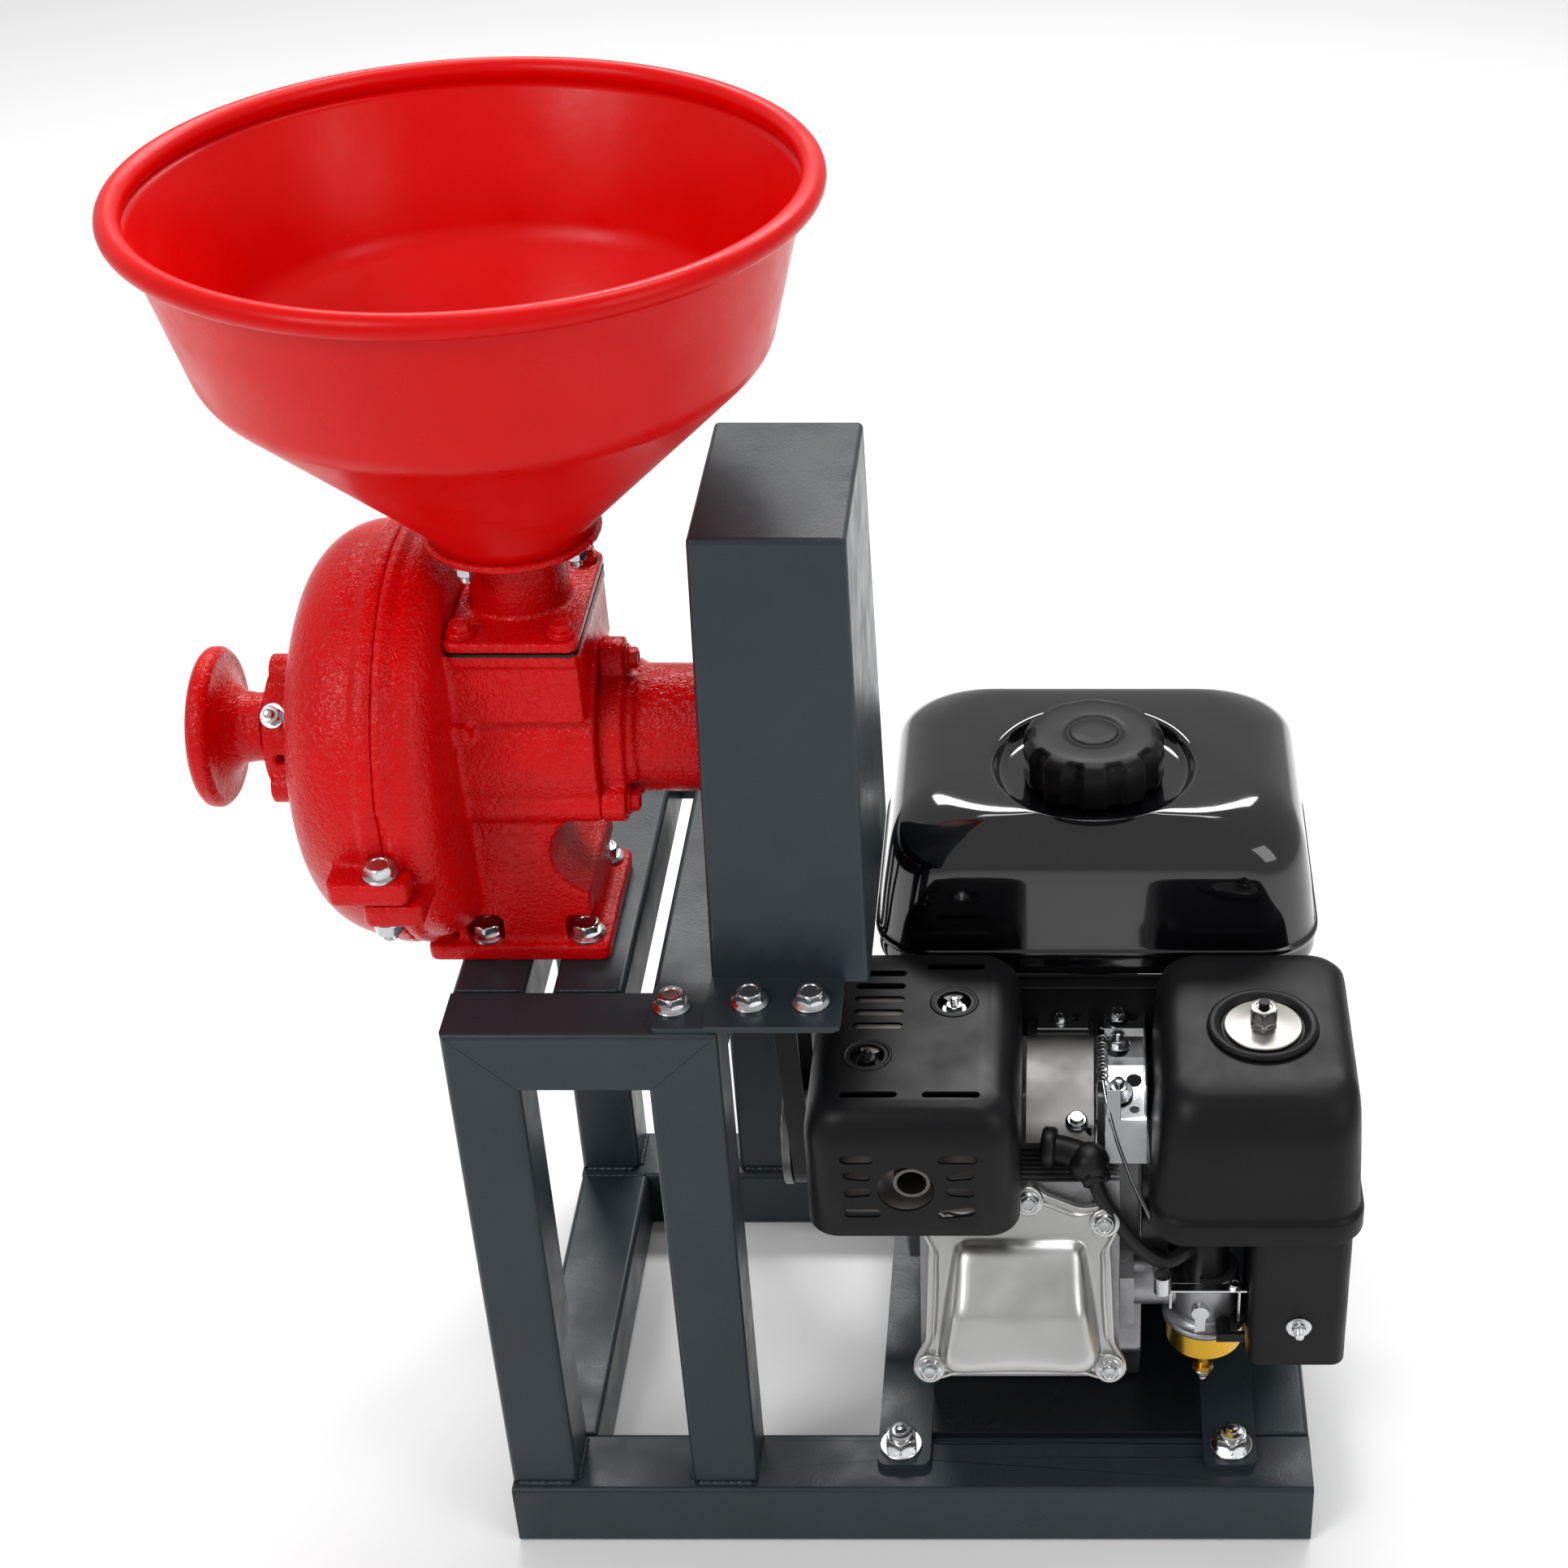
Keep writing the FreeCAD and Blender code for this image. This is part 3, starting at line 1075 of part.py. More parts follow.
def make_crankcase():
    y = s.crank_y
    points = [
        (s.case_back, s.engine_foot), (s.case_back, s.crank_z + 40), (s.case_back - 30, s.case_top),
        (122, s.case_top), (114, 216), (64, 92), (84, s.engine_foot + 8), (84, s.engine_foot),
    ]
    width = s.case_right - s.case_left
    block = padded("case_block", "YZ_Plane", points, width, machine(s.case_left, 0, 0))
    soften(block, as_size(6), along("x"), "case_round")
    room = cylinder("case_room", machine(s.case_left + 8, y, s.crank_z), 52, width - 16, "x")
    bore = cylinder("case_bore", machine(s.case_left - 60, y, s.crank_z), s.crank_rad + 4.2, 400, "x")
    feet = []
    tools = [room, bore]
    for n, (x, foot_y) in enumerate(ENGINE_SPOTS):
        feet.append(box(f"case_post_{n}", machine(x - 12, foot_y - 12, s.case_top - 30),
                        (24, 24, s.tank_foot - s.case_top + 30)))
        tools.append(cylinder(f"case_foot_cut_{n}", machine(x, foot_y, s.engine_foot - 1),
                              s.bolt_rad + s.hole_gap, 10))
        tools.append(cylinder(f"case_foot_room_{n}", machine(x, foot_y, s.engine_foot + 8), 12, 24))
    rear_posts = [post for n, post in enumerate(feet) if n % 2]
    solid = join("case_solid", [block] + rear_posts)
    subpart("crankcase", cut("crankcase", solid, tools))

    cover = cylinder("cover_disc", machine(s.case_left - 12, y, s.crank_z), 78, 12, "x")
    boss = cylinder("cover_boss", machine(s.case_left - 24, y, s.crank_z), 27, 14, "x")
    hole = cylinder("cover_bore", machine(s.case_left - 60, y, s.crank_z), s.crank_rad + s.running_gap, 100,
                    "x")
    subpart("crankcase_cover", cut("crankcase_cover", join("cover_plate", [cover, boss]), [hole]))

    rod = cylinder("crank_rod", machine(s.crank_end, y, s.crank_z), s.crank_rad,
                   s.recoil_right - 30 - s.crank_end, "x")
    webs = []
    for n, x in enumerate((s.case_left + 46, s.case_left + 80)):
        webs.append(cylinder(f"crank_web_{n}", machine(x, y, s.crank_z), 42, 14, "x"))
    solid = join("crank_solid", [rod] + webs)
    subpart("crankshaft", solid)

    flywheel_x = s.case_right + 8
    disc = cylinder("flywheel_disc", machine(flywheel_x, y, s.crank_z), s.flywheel_rad, 16, "x")
    fins = []
    for n in range(16):
        spin = FreeCAD.Rotation(FreeCAD.Vector(1, 0, 0), 22.5 * n)
        offset = spin.multVec(FreeCAD.Vector(0, -1.5, 34))
        fin = doc.addObject("Part::Box", f"flywheel_fin_{n}")
        bind(fin, "Length", 20)
        bind(fin, "Width", 3)
        bind(fin, "Height", s.flywheel_rad - 36)
        place(fin, machine(flywheel_x + 14, y + offset.y, s.crank_z + offset.z), spin)
        fins.append(fin)
    bore = cylinder("flywheel_bore", machine(flywheel_x - 5, y, s.crank_z), s.crank_rad, 60, "x")
    subpart("flywheel", cut("flywheel", join("flywheel_solid", [disc] + fins), [bore]))


def make_fan_housing():
    y = s.crank_y
    length = s.fan_right - s.case_right
    drum = cylinder("fan_drum", machine(s.case_right, y, s.crank_z), s.fan_rad, length, "x")
    room = cylinder("fan_room", machine(s.case_right - 5, y, s.crank_z), s.fan_rad - s.fan_wall,
                    length - s.fan_wall + 5, "x")
    eye = cylinder("fan_eye", machine(s.case_right, y, s.crank_z), s.recoil_rad - 12, 200, "x")
    room_box = box("fan_flat", machine(s.case_right - 5, 0, s.flat_z), (200, s.flat_y, 200))
    roof = box("fan_roof", machine(s.case_right, y - s.fan_rad, s.flat_z - s.fan_wall),
               (length, s.fan_rad + s.flat_y - y, s.fan_wall))
    wall = box(
        "fan_step", machine(s.case_right, s.flat_y, s.flat_z - s.fan_wall),
        (length, s.fan_wall, s.fan_rad - s.flat_z + s.crank_z),
    )
    inside = overlap("fan_inside", join("fan_patch", [roof, wall]), cylinder(
        "fan_limit", machine(s.case_right, y, s.crank_z), s.fan_rad, length, "x"
    ))
    shell = cut("fan_shell", drum, [room, eye, room_box])
    subpart("fan_housing", join("fan_housing", [shell, inside]))

    ring = s.recoil_rad
    deep = s.recoil_right - s.fan_right
    profile = [
        (0, deep), (ring - 22, deep), (ring, deep - 14), (ring, 0), (ring - 2.5, 0), (ring - 2.5, deep - 15),
        (ring - 23, deep - 2.5), (0, deep - 2.5),
    ]
    shell = turned("recoil_turned", profile, machine(s.fan_right, y, s.crank_z), "x")
    windows = []
    for n in range(12):
        angle = math.radians(30 * n + 15)
        spot = machine(s.fan_right + deep - 20, y + 40 * math.cos(angle), s.crank_z + 40 * math.sin(angle))
        windows.append(cylinder(f"recoil_window_{n}", spot, 6, 40, "x"))
    port_at = machine(s.fan_right + 18, y + ring - 40, s.crank_z + 34)
    port = cylinder("recoil_port", port_at, 5, 60, "y")
    subpart("recoil_cover", cut("recoil_cover", shell, windows + [port]))
    grip_y = y + ring + 16
    grip = cylinder("grip_bar", machine(s.fan_right + 18, grip_y, s.crank_z + 16), 7, 36)
    neck = cylinder("grip_neck", machine(s.fan_right + 18, grip_y - 20, s.crank_z + 34), 4, 20, "y")
    subpart("recoil_handle", join("recoil_handle", [rounded("grip_soft", grip, as_size(3), round_edge),
                                                    neck]))


def round_edge(edge):
    return isinstance(edge.Curve, Part.Circle)


def make_head():
    wide, high, deep = s.head_wide, s.head_high, s.head_deep
    core = box("head_core", tilted((-wide * 0.36, -high * 0.4), -deep), (wide * 0.72, high * 0.8, deep),
               HEAD_TURN)
    fins = []
    for n in range(8):
        spot = tilted((-wide / 2, -high / 2), -deep + n * 8.0)
        fins.append(box(f"head_fin_{n}", spot, (wide, high, 2.6), HEAD_TURN))
    way = place(cylinder("plug_way", (0, 0, 0), 6, 40), tilted((40, 50), -30), PLUG_TURN)
    subpart("cylinder_head", cut("cylinder_head", join("head_solid", [core] + fins), [way]))

    rw, rh, rd = s.rocker_wide, s.rocker_high, s.rocker_deep
    flange_points = [
        (-rw / 2, -rh / 2), (rw / 2, -rh / 2), (rw * 0.44, rh / 2), (-rw * 0.44, rh / 2),
    ]
    flange = padded("rocker_flange", "XY_Plane", flange_points, s.rocker_flange, (0, 0, 0))
    soften(flange, as_size(14), along("z"), "rocker_flange_round")
    place(flange, tilted((0, 0), 0), HEAD_TURN)
    dome_points = [
        (-rw * 0.4, -rh * 0.4), (rw * 0.4, -rh * 0.4), (rw * 0.32, rh * 0.42), (-rw * 0.32, rh * 0.42),
    ]
    dome = padded("rocker_dome", "XY_Plane", dome_points, rd, (0, 0, 0))
    soften(dome, as_size(16), along("z"), "rocker_dome_round")
    top = rd.value
    soften(dome, as_size(8), lambda edge: all(abs(v.Point.z - top) < 0.01 for v in edge.Vertexes),
           "rocker_dome_edge")
    place(dome, tilted((0, 0), 0), HEAD_TURN)
    spots = [(-rw * 0.43, -rh * 0.42), (rw * 0.43, -rh * 0.42), (rw * 0.37, rh * 0.42),
             (-rw * 0.37, rh * 0.42)]
    bosses = []
    bolts = []
    for n, (x, up) in enumerate(spots):
        boss = cylinder(f"rocker_boss_{n}", (0, 0, 0), 10, s.rocker_flange + 4)
        bosses.append(place(boss, tilted((x, up), 0), HEAD_TURN))
        washer = place(cylinder(f"rocker_washer_{n}", (0, 0, 0), 8, 1.5),
                       tilted((x, up), s.rocker_flange + 4), HEAD_TURN)
        head = place(hexagon(f"rocker_hex_{n}", (0, 0, 0), 10, 5), tilted((x, up), s.rocker_flange + 5.5),
                     HEAD_TURN)
        bolts.append(join(f"rocker_bolt_{n}", [washer, head]))
    subpart("rocker_cover", join("rocker_cover", [flange, dome] + bosses))
    subpart("rocker_cover_bolts", group("rocker_cover_bolts", bolts))


def leaning_box(name, corner, size, radius, top_radius):
    """A block whose sides lean in towards the top, with rounded corners and a rounded top edge."""
    obj = doc.addObject("Part::Wedge", f"{name}_block")
    long, deep, high = size
    lean = s.tank_lean
    limits = {
        "Xmin": 0, "Xmax": long, "Zmin": 0, "Zmax": deep, "Ymin": 0, "Ymax": high,
        "X2min": lean, "X2max": long - lean, "Z2min": lean / 2, "Z2max": deep - lean / 2,
    }
    for prop, length in limits.items():
        bind(obj, prop, length)
    x, y, z = corner
    place(obj, machine(x, y + deep, z), TURN["-y"])
    top = (as_size(z) + high).value
    foot = as_size(z).value
    corners = rounded(
        f"{name}_corners", obj, radius,
        lambda edge: abs(edge.Vertexes[0].Point.z - edge.Vertexes[-1].Point.z) > (top - foot) / 2,
    )
    return rounded(name, corners, top_radius,
                   lambda edge: all(abs(v.Point.z - top) < 0.01 for v in edge.Vertexes))


def make_tank():
    size = (s.tank_right - s.tank_left, s.tank_back - s.tank_front, s.tank_top - s.tank_foot)
    soft = leaning_box("tank_outer", (s.tank_left, s.tank_front, s.tank_foot), size, s.tank_round,
                       as_size(18))
    wall = s.tank_wall
    room_size = tuple(v - 2 * wall for v in size)
    room_at = (s.tank_left + wall, s.tank_front + wall, s.tank_foot + wall)
    low = leaning_box("tank_room", room_at, room_size, s.tank_round - wall, as_size(16))
    floor_z = s.tank_top - s.cap_well_deep
    well = cylinder("tank_well", machine(s.cap_x, s.cap_y, floor_z), s.cap_well_rad, 40)
    well_body = cylinder("tank_well_body", machine(s.cap_x, s.cap_y, floor_z - 2), s.cap_well_rad + 2,
                         s.cap_well_deep + 1)
    filler = cylinder("tank_filler", machine(s.cap_x, s.cap_y, floor_z - 2), s.filler_rad, 14)
    throat = cylinder("tank_throat", machine(s.cap_x, s.cap_y, floor_z - 20), s.filler_rad - 2, 60)
    rim_size = (size[0] + 6, size[1] - 3, 3)
    rim = rounded(
        "tank_rim_soft", box("tank_rim", machine(s.tank_left - 3, s.tank_front + 2, s.tank_foot + 14),
                             rim_size),
        s.tank_round, along("z"),
    )
    shell = cut("tank_shell", join("tank_outside", [soft, rim]), [low])
    dished = join("tank_dished", [cut("tank_open", shell, [well]), cut("tank_cup", well_body, [
        cylinder("tank_cup_room", machine(s.cap_x, s.cap_y, floor_z), s.cap_well_rad, 40)])])
    subpart("fuel_tank", cut("fuel_tank", join("tank_joined", [dished, filler]), [throat]))

    gasket_z = floor_z + 12
    ring = cylinder("gasket_ring", machine(s.cap_x, s.cap_y, gasket_z + 0.3), s.filler_rad, 2)
    hole = cylinder("gasket_hole", machine(s.cap_x, s.cap_y, gasket_z - 5), s.filler_rad - 4, 20)
    subpart("cap_gasket", cut("cap_gasket", ring, [hole]))
    skirt_z = floor_z + 0.4
    high = s.cap_knob_high
    knob = cylinder("knob_disc", machine(s.cap_x, s.cap_y, skirt_z), s.cap_knob_rad, high)
    knob = rounded(
        "knob_soft", knob, as_size(5),
        lambda edge: isinstance(edge.Curve, Part.Circle) and edge.Curve.Center.z > (floor_z + 15).value,
    )
    tools = [cylinder("knob_room", machine(s.cap_x, s.cap_y, skirt_z - 5), s.filler_rad + 1, 12 + 5 + 2.2)]
    for n in range(9):
        angle = math.radians(40 * n + 20)
        reach = s.cap_knob_rad + 7
        spot = machine(s.cap_x + reach * math.cos(angle), s.cap_y + reach * math.sin(angle), skirt_z - 1)
        tools.append(cylinder(f"knob_scallop_{n}", spot, 11, high + 2))
    subpart("tank_cap", cut("tank_cap", knob, tools))


def shell_box(name, corner, size, wall, radius, edge_radius):
    """A moulded cover: open below, rounded upright corners and top edge."""
    x, y, z = corner
    outer = rounded(f"{name}_corners", box(f"{name}_outer", machine(x, y, z), size), radius, along("z"))
    top = (as_size(z) + size[2]).value
    soft = rounded(
        f"{name}_soft", outer, edge_radius,
                   lambda edge: all(abs(v.Point.z - top) < 0.01 for v in edge.Vertexes)
    )
    inner_size = (size[0] - 2 * wall, size[1] - 2 * wall, size[2] - wall + 5)
    inner = box(f"{name}_inner", machine(x + wall, y + wall, z - 5), inner_size)
    inner = rounded(f"{name}_inner_corners", inner, radius - wall, along("z"))
    inner_top = top - wall.value
    inner = rounded(
        f"{name}_inner_soft", inner, edge_radius - wall,
        lambda edge: all(abs(v.Point.z - inner_top) < 0.01 for v in edge.Vertexes),
    )
    return soft, inner


def make_muffler():
    size = (s.muf_right - s.muf_left, s.muf_back - s.muf_front, s.muf_top - s.muf_foot)
    soft, inner = shell_box(
        "guard_box", (s.muf_left, s.muf_front, s.muf_foot), size, s.muf_wall, as_size(18), as_size(13)
    )
    tools = [inner]
    for n in range(6):
        spot = machine(s.muf_left + 22, s.muf_back - 22 - 11 * n, s.muf_top - 10)
        tools.append(box(f"guard_slot_left_{n}", spot, (30, 4, 30)))
    spot = machine(s.muf_right - 56, s.muf_back - 18, s.muf_top - 10)
    tools.append(box("guard_slot_right", spot, (34, 4, 30)))
    for n, x in enumerate((20, 72)):
        tools.append(box(f"guard_slot_low_{n}", machine(s.muf_left + x, s.muf_front + 32, s.muf_top - 10),
                         (30, 4, 30)))
    for row in range(4):
        z = s.muf_foot + 14 + 14 * row
        for n, x in enumerate((18, s.muf_right - s.muf_left - 40)):
            tools.append(box(f"guard_front_{row}_{n}", machine(s.muf_left + x, s.muf_front - 5, z),
                             (22, 20, 5)))
    outlet_at = machine((s.muf_left + s.muf_right) / 2, s.muf_front - 5, s.muf_foot + 36)
    tools.append(cylinder("guard_outlet", outlet_at, 14, 20, "y"))
    subpart("muffler_guard", cut("muffler_guard", soft, tools))

    size = (s.muf_right - s.muf_left - 26, s.muf_back - s.muf_front - 26, s.muf_top - s.muf_foot - 18)
    can = box("muffler_can", machine(s.muf_left + 13, s.muf_front + 13, s.muf_foot + 6), size)
    can = rounded("muffler_soft", can, as_size(12), along("y"))
    stub = cylinder("muffler_outlet",
                    machine((s.muf_left + s.muf_right) / 2, s.muf_front + 3, s.muf_foot + 36), 10, 12, "y")
    bore = cylinder("muffler_bore", machine((s.muf_left + s.muf_right) / 2, s.muf_front - 5, s.muf_foot + 36),
                    8, 30, "y")
    lugs = [
        cylinder(f"muffler_lug_{n}", machine(x, y, s.muf_top - 13), 6, 13 - s.muf_wall)
        for n, (x, y) in enumerate(((s.muf_left + 34, s.muf_front + 62), (s.muf_right - 38, s.muf_back - 44)))
    ]
    pipe = cylinder("muffler_pipe", machine(s.muf_right - 20, s.muf_back - 40, s.case_top), 12,
                    s.muf_foot + 8 - s.case_top)
    subpart("muffler", cut("muffler", join("muffler_solid", [can, stub, pipe] + lugs), [bore]))


def make_air_cleaner():
    wide, deep = s.air_right - s.air_left, s.air_back - s.air_front
    size = (wide, deep, s.air_top - s.air_foot)
    soft, inner = shell_box(
        "air_box", (s.air_left, s.air_front, s.air_foot + 0.3), size, s.air_wall, as_size(20), as_size(14)
    )
    stud_cut = cylinder("air_stud_cut", machine(s.knob_x, s.knob_y, s.air_top - 20), 3.4, 60)
    subpart("air_cleaner_cover", cut("air_cleaner_cover", soft, [inner, stud_cut]))

    base_at = machine(s.air_left + 4, s.air_front + 4, s.air_foot - s.air_base_thick)
    base = rounded(
        "air_base_soft", box("air_base", base_at, (wide - 8, deep - 8, s.air_base_thick)), as_size(16),
                   along("z")
    )
    duct_size = (s.duct_right - s.duct_left, s.duct_back - s.duct_front, s.air_foot - s.duct_foot - 2)
    duct = rounded(
        "air_duct_soft", box("air_duct", machine(s.duct_left, s.duct_front, s.duct_foot), duct_size),
                   as_size(8), along("z")
    )
    stud_rod = cylinder("air_stud", machine(s.knob_x, s.knob_y, s.air_foot - 2), 3,
                        s.air_top - s.air_foot + 20)
    elbow = cylinder("air_elbow", machine(s.carb_x, s.carb_y, s.carb_z + 22), 13, s.air_foot - s.carb_z - 24)
    subpart("air_cleaner_base", join("air_cleaner_base", [base, duct, stud_rod, elbow]))
    filter_at = machine(s.knob_x, s.knob_y + 4, s.air_foot + 1)
    element = cylinder("filter_body", filter_at, 42, 56)
    hole = cylinder("filter_hole", machine(s.knob_x, s.knob_y + 4, s.air_foot - 5), 24, 100)
    subpart("filter_element", cut("filter_element", element, [hole]))
    z = s.air_top + 0.6
    washer = cylinder("knob_washer", machine(s.knob_x, s.knob_y, z), 20, 2)
    nut = hexagon("knob_nut", machine(s.knob_x, s.knob_y, z + 2), 14, 8)
    hole = cylinder("knob_hole", machine(s.knob_x, s.knob_y, z - 2), 3.0 + 0.06, 30)
    subpart("air_cleaner_nut", cut("air_cleaner_nut", join("knob_solid", [washer, nut]), [hole]))


def make_carburettor():
    x, y, z = s.carb_x, s.carb_y, s.carb_z
    body = cylinder("carb_body", machine(x, y, z - 14), 18, 36)
    throat = cylinder("carb_throat", machine(x - 48, y + 6, z + 4), 14, 40, "x")
    spacer = box("carb_spacer", machine(x - 49.6, y - 14, z - 12), (8, 38, 36))
    lever_post = cylinder("carb_post", machine(x - 26, y, z + 12), 5, 12)
    subpart("carburettor", join("carburettor", [body, throat, spacer, lever_post]))
    profile = [(0, 0), (5, 0), (6, 12), (14, 16), (s.bowl_rad, 20), (s.bowl_rad, 38), (0, 38)]
    bowl = turned("bowl_turned", profile, machine(x, y, z - 52))
    drain = cylinder("bowl_drain", machine(x, y, z - 66), 3.5, 15)
    drain_hex = hexagon("bowl_hex", machine(x, y, z - 62), 10, 5)
    subpart("carburettor_bowl", join("carburettor_bowl", [bowl, drain, drain_hex]))


def make_levers():
    x, y, z = s.carb_x, s.carb_y, s.carb_z
    arm = box("throttle_arm", machine(x - 28.5, y - 26, z + 24.3), (5, 32, 2.5))
    tip = cylinder("throttle_tip", machine(x - 26, y - 24, z + 24.3), 5, 12)
    subpart("throttle_lever", join("throttle_lever", [arm, tip]))
    hub = cylinder("choke_hub", machine(x - 4, y - 22.3, z + 4), 5, 4, "y")
    arm = box("choke_arm", machine(x - 7, y - 22.3, z - 13), (6, 3, 17))
    subpart("choke_lever", join("choke_lever", [hub, arm]))
    hub = cylinder("valve_hub", machine(x + 9, y - 28, z - 6), 4, 10.3, "y")
    arm = box("valve_arm", machine(x + 5, y - 31, z - 9), (16, 3, 6))
    subpart("fuel_valve", join("fuel_valve", [hub, arm]))


def make_ignition():
    plug_at = tilted((40, 50), -30)
    thread = place(cylinder("plug_thread", (0, 0, 0), 6, 12), plug_at, PLUG_TURN)
    hexa = place(hexagon("plug_hex", (0, 0, 0), 16, 6), tilted((40, 60), -30), PLUG_TURN)
    tip = place(cylinder("plug_tip", (0, 0, 0), 4, 22), tilted((40, 60), -30), PLUG_TURN)
    subpart("spark_plug", join("spark_plug", [thread, hexa, tip]))
    boot_at = tilted((40, 66.3), -30)
    boot = place(cylinder("lead_boot", (0, 0, 0), 9.5, 26), boot_at, PLUG_TURN)
    boot = rounded("lead_boot_soft", boot, as_size(3), round_edge)
    room = place(cylinder("lead_room", (0, 0, 0), 4.2, 17), tilted((40, 65), -30), PLUG_TURN)
    cable = doc.addObject("Part::Feature", "lead_cable")
    cable.Shape = bent_cable(LEAD_SPOTS, 4.2)
    place(cable, machine(0, 0, 0))
    subpart("plug_lead", cut("plug_lead", join("lead_solid", [boot, cable]), [room]))


LEAD_SPOTS = [(338, 92, 247), (352, 80, 246), (362, 66, 222), (371, 58, 201), (382, 58, 192)]


def bent_cable(spots, radius):
    """A round cable along a smooth line through spots, in the stand's frame."""
    line = Part.BSplineCurve()
    line.interpolate([FreeCAD.Vector(*spot) for spot in spots])
    start = line.value(line.FirstParameter)
    ring = Part.Wire([Part.makeCircle(radius, start, line.tangent(line.FirstParameter)[0])])
    return Part.Wire([line.toShape()]).makePipeShell([ring], True, False)


make_crankcase()
make_fan_housing()
make_head()
make_tank()
make_muffler()
make_air_cleaner()
make_carburettor()
make_levers()
make_ignition()

# ---- check and export

doc.recompute()
faults = []
for obj in doc.Objects:
    if any(word in str(state) for state in obj.State for word in ("Invalid", "Error")):
        faults.append(f"{obj.Name}: {obj.State}")
for node, obj in SUBPARTS.items():
    if obj.Shape.isNull() or not obj.Shape.isValid() or not obj.Shape.Solids:
        faults.append(f"{node}: bad shape")
if faults:
    raise SystemExit("nothing written:\n" + "\n".join(faults))
os.makedirs("parts", exist_ok=True)
for node, obj in SUBPARTS.items():
    obj.Shape.exportStep(os.path.join("parts", f"{node}.step"))
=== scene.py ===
import json
import math

import bmesh
import bpy
from mathutils import Matrix, Vector

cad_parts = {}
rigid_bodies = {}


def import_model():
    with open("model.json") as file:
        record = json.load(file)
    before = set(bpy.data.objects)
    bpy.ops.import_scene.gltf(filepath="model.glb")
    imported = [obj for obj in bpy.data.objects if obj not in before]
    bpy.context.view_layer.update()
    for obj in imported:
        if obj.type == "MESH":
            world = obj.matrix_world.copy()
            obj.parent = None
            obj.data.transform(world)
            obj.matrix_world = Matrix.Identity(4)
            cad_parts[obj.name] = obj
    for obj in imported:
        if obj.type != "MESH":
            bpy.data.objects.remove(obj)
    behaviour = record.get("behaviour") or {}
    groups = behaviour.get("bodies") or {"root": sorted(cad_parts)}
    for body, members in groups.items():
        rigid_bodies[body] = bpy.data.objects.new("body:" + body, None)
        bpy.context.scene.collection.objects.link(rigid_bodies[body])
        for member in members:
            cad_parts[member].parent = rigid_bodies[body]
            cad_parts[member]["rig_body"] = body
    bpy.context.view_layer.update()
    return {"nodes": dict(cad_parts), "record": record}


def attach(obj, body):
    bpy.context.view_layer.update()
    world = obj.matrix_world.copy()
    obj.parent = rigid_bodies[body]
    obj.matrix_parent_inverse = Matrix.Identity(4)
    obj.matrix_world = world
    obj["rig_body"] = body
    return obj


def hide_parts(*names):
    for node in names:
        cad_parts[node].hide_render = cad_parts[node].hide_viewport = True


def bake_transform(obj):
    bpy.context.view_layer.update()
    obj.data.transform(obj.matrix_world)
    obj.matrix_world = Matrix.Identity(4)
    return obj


# Grain disc mill with a belt guard and a small petrol engine. Lengths in this file are millimetres in
# the stand's own frame (X right, Y back, Z up, zero at the stand's front left bottom corner); at()
# turns them into the model's metres.

ORIGIN = Vector((180.0, 145.5, 0.0))

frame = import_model()
nodes = frame["nodes"]
scene = bpy.context.scene


def at(x, y, z):
    return (Vector((x, y, z)) - ORIGIN) / 1000


# ---- materials


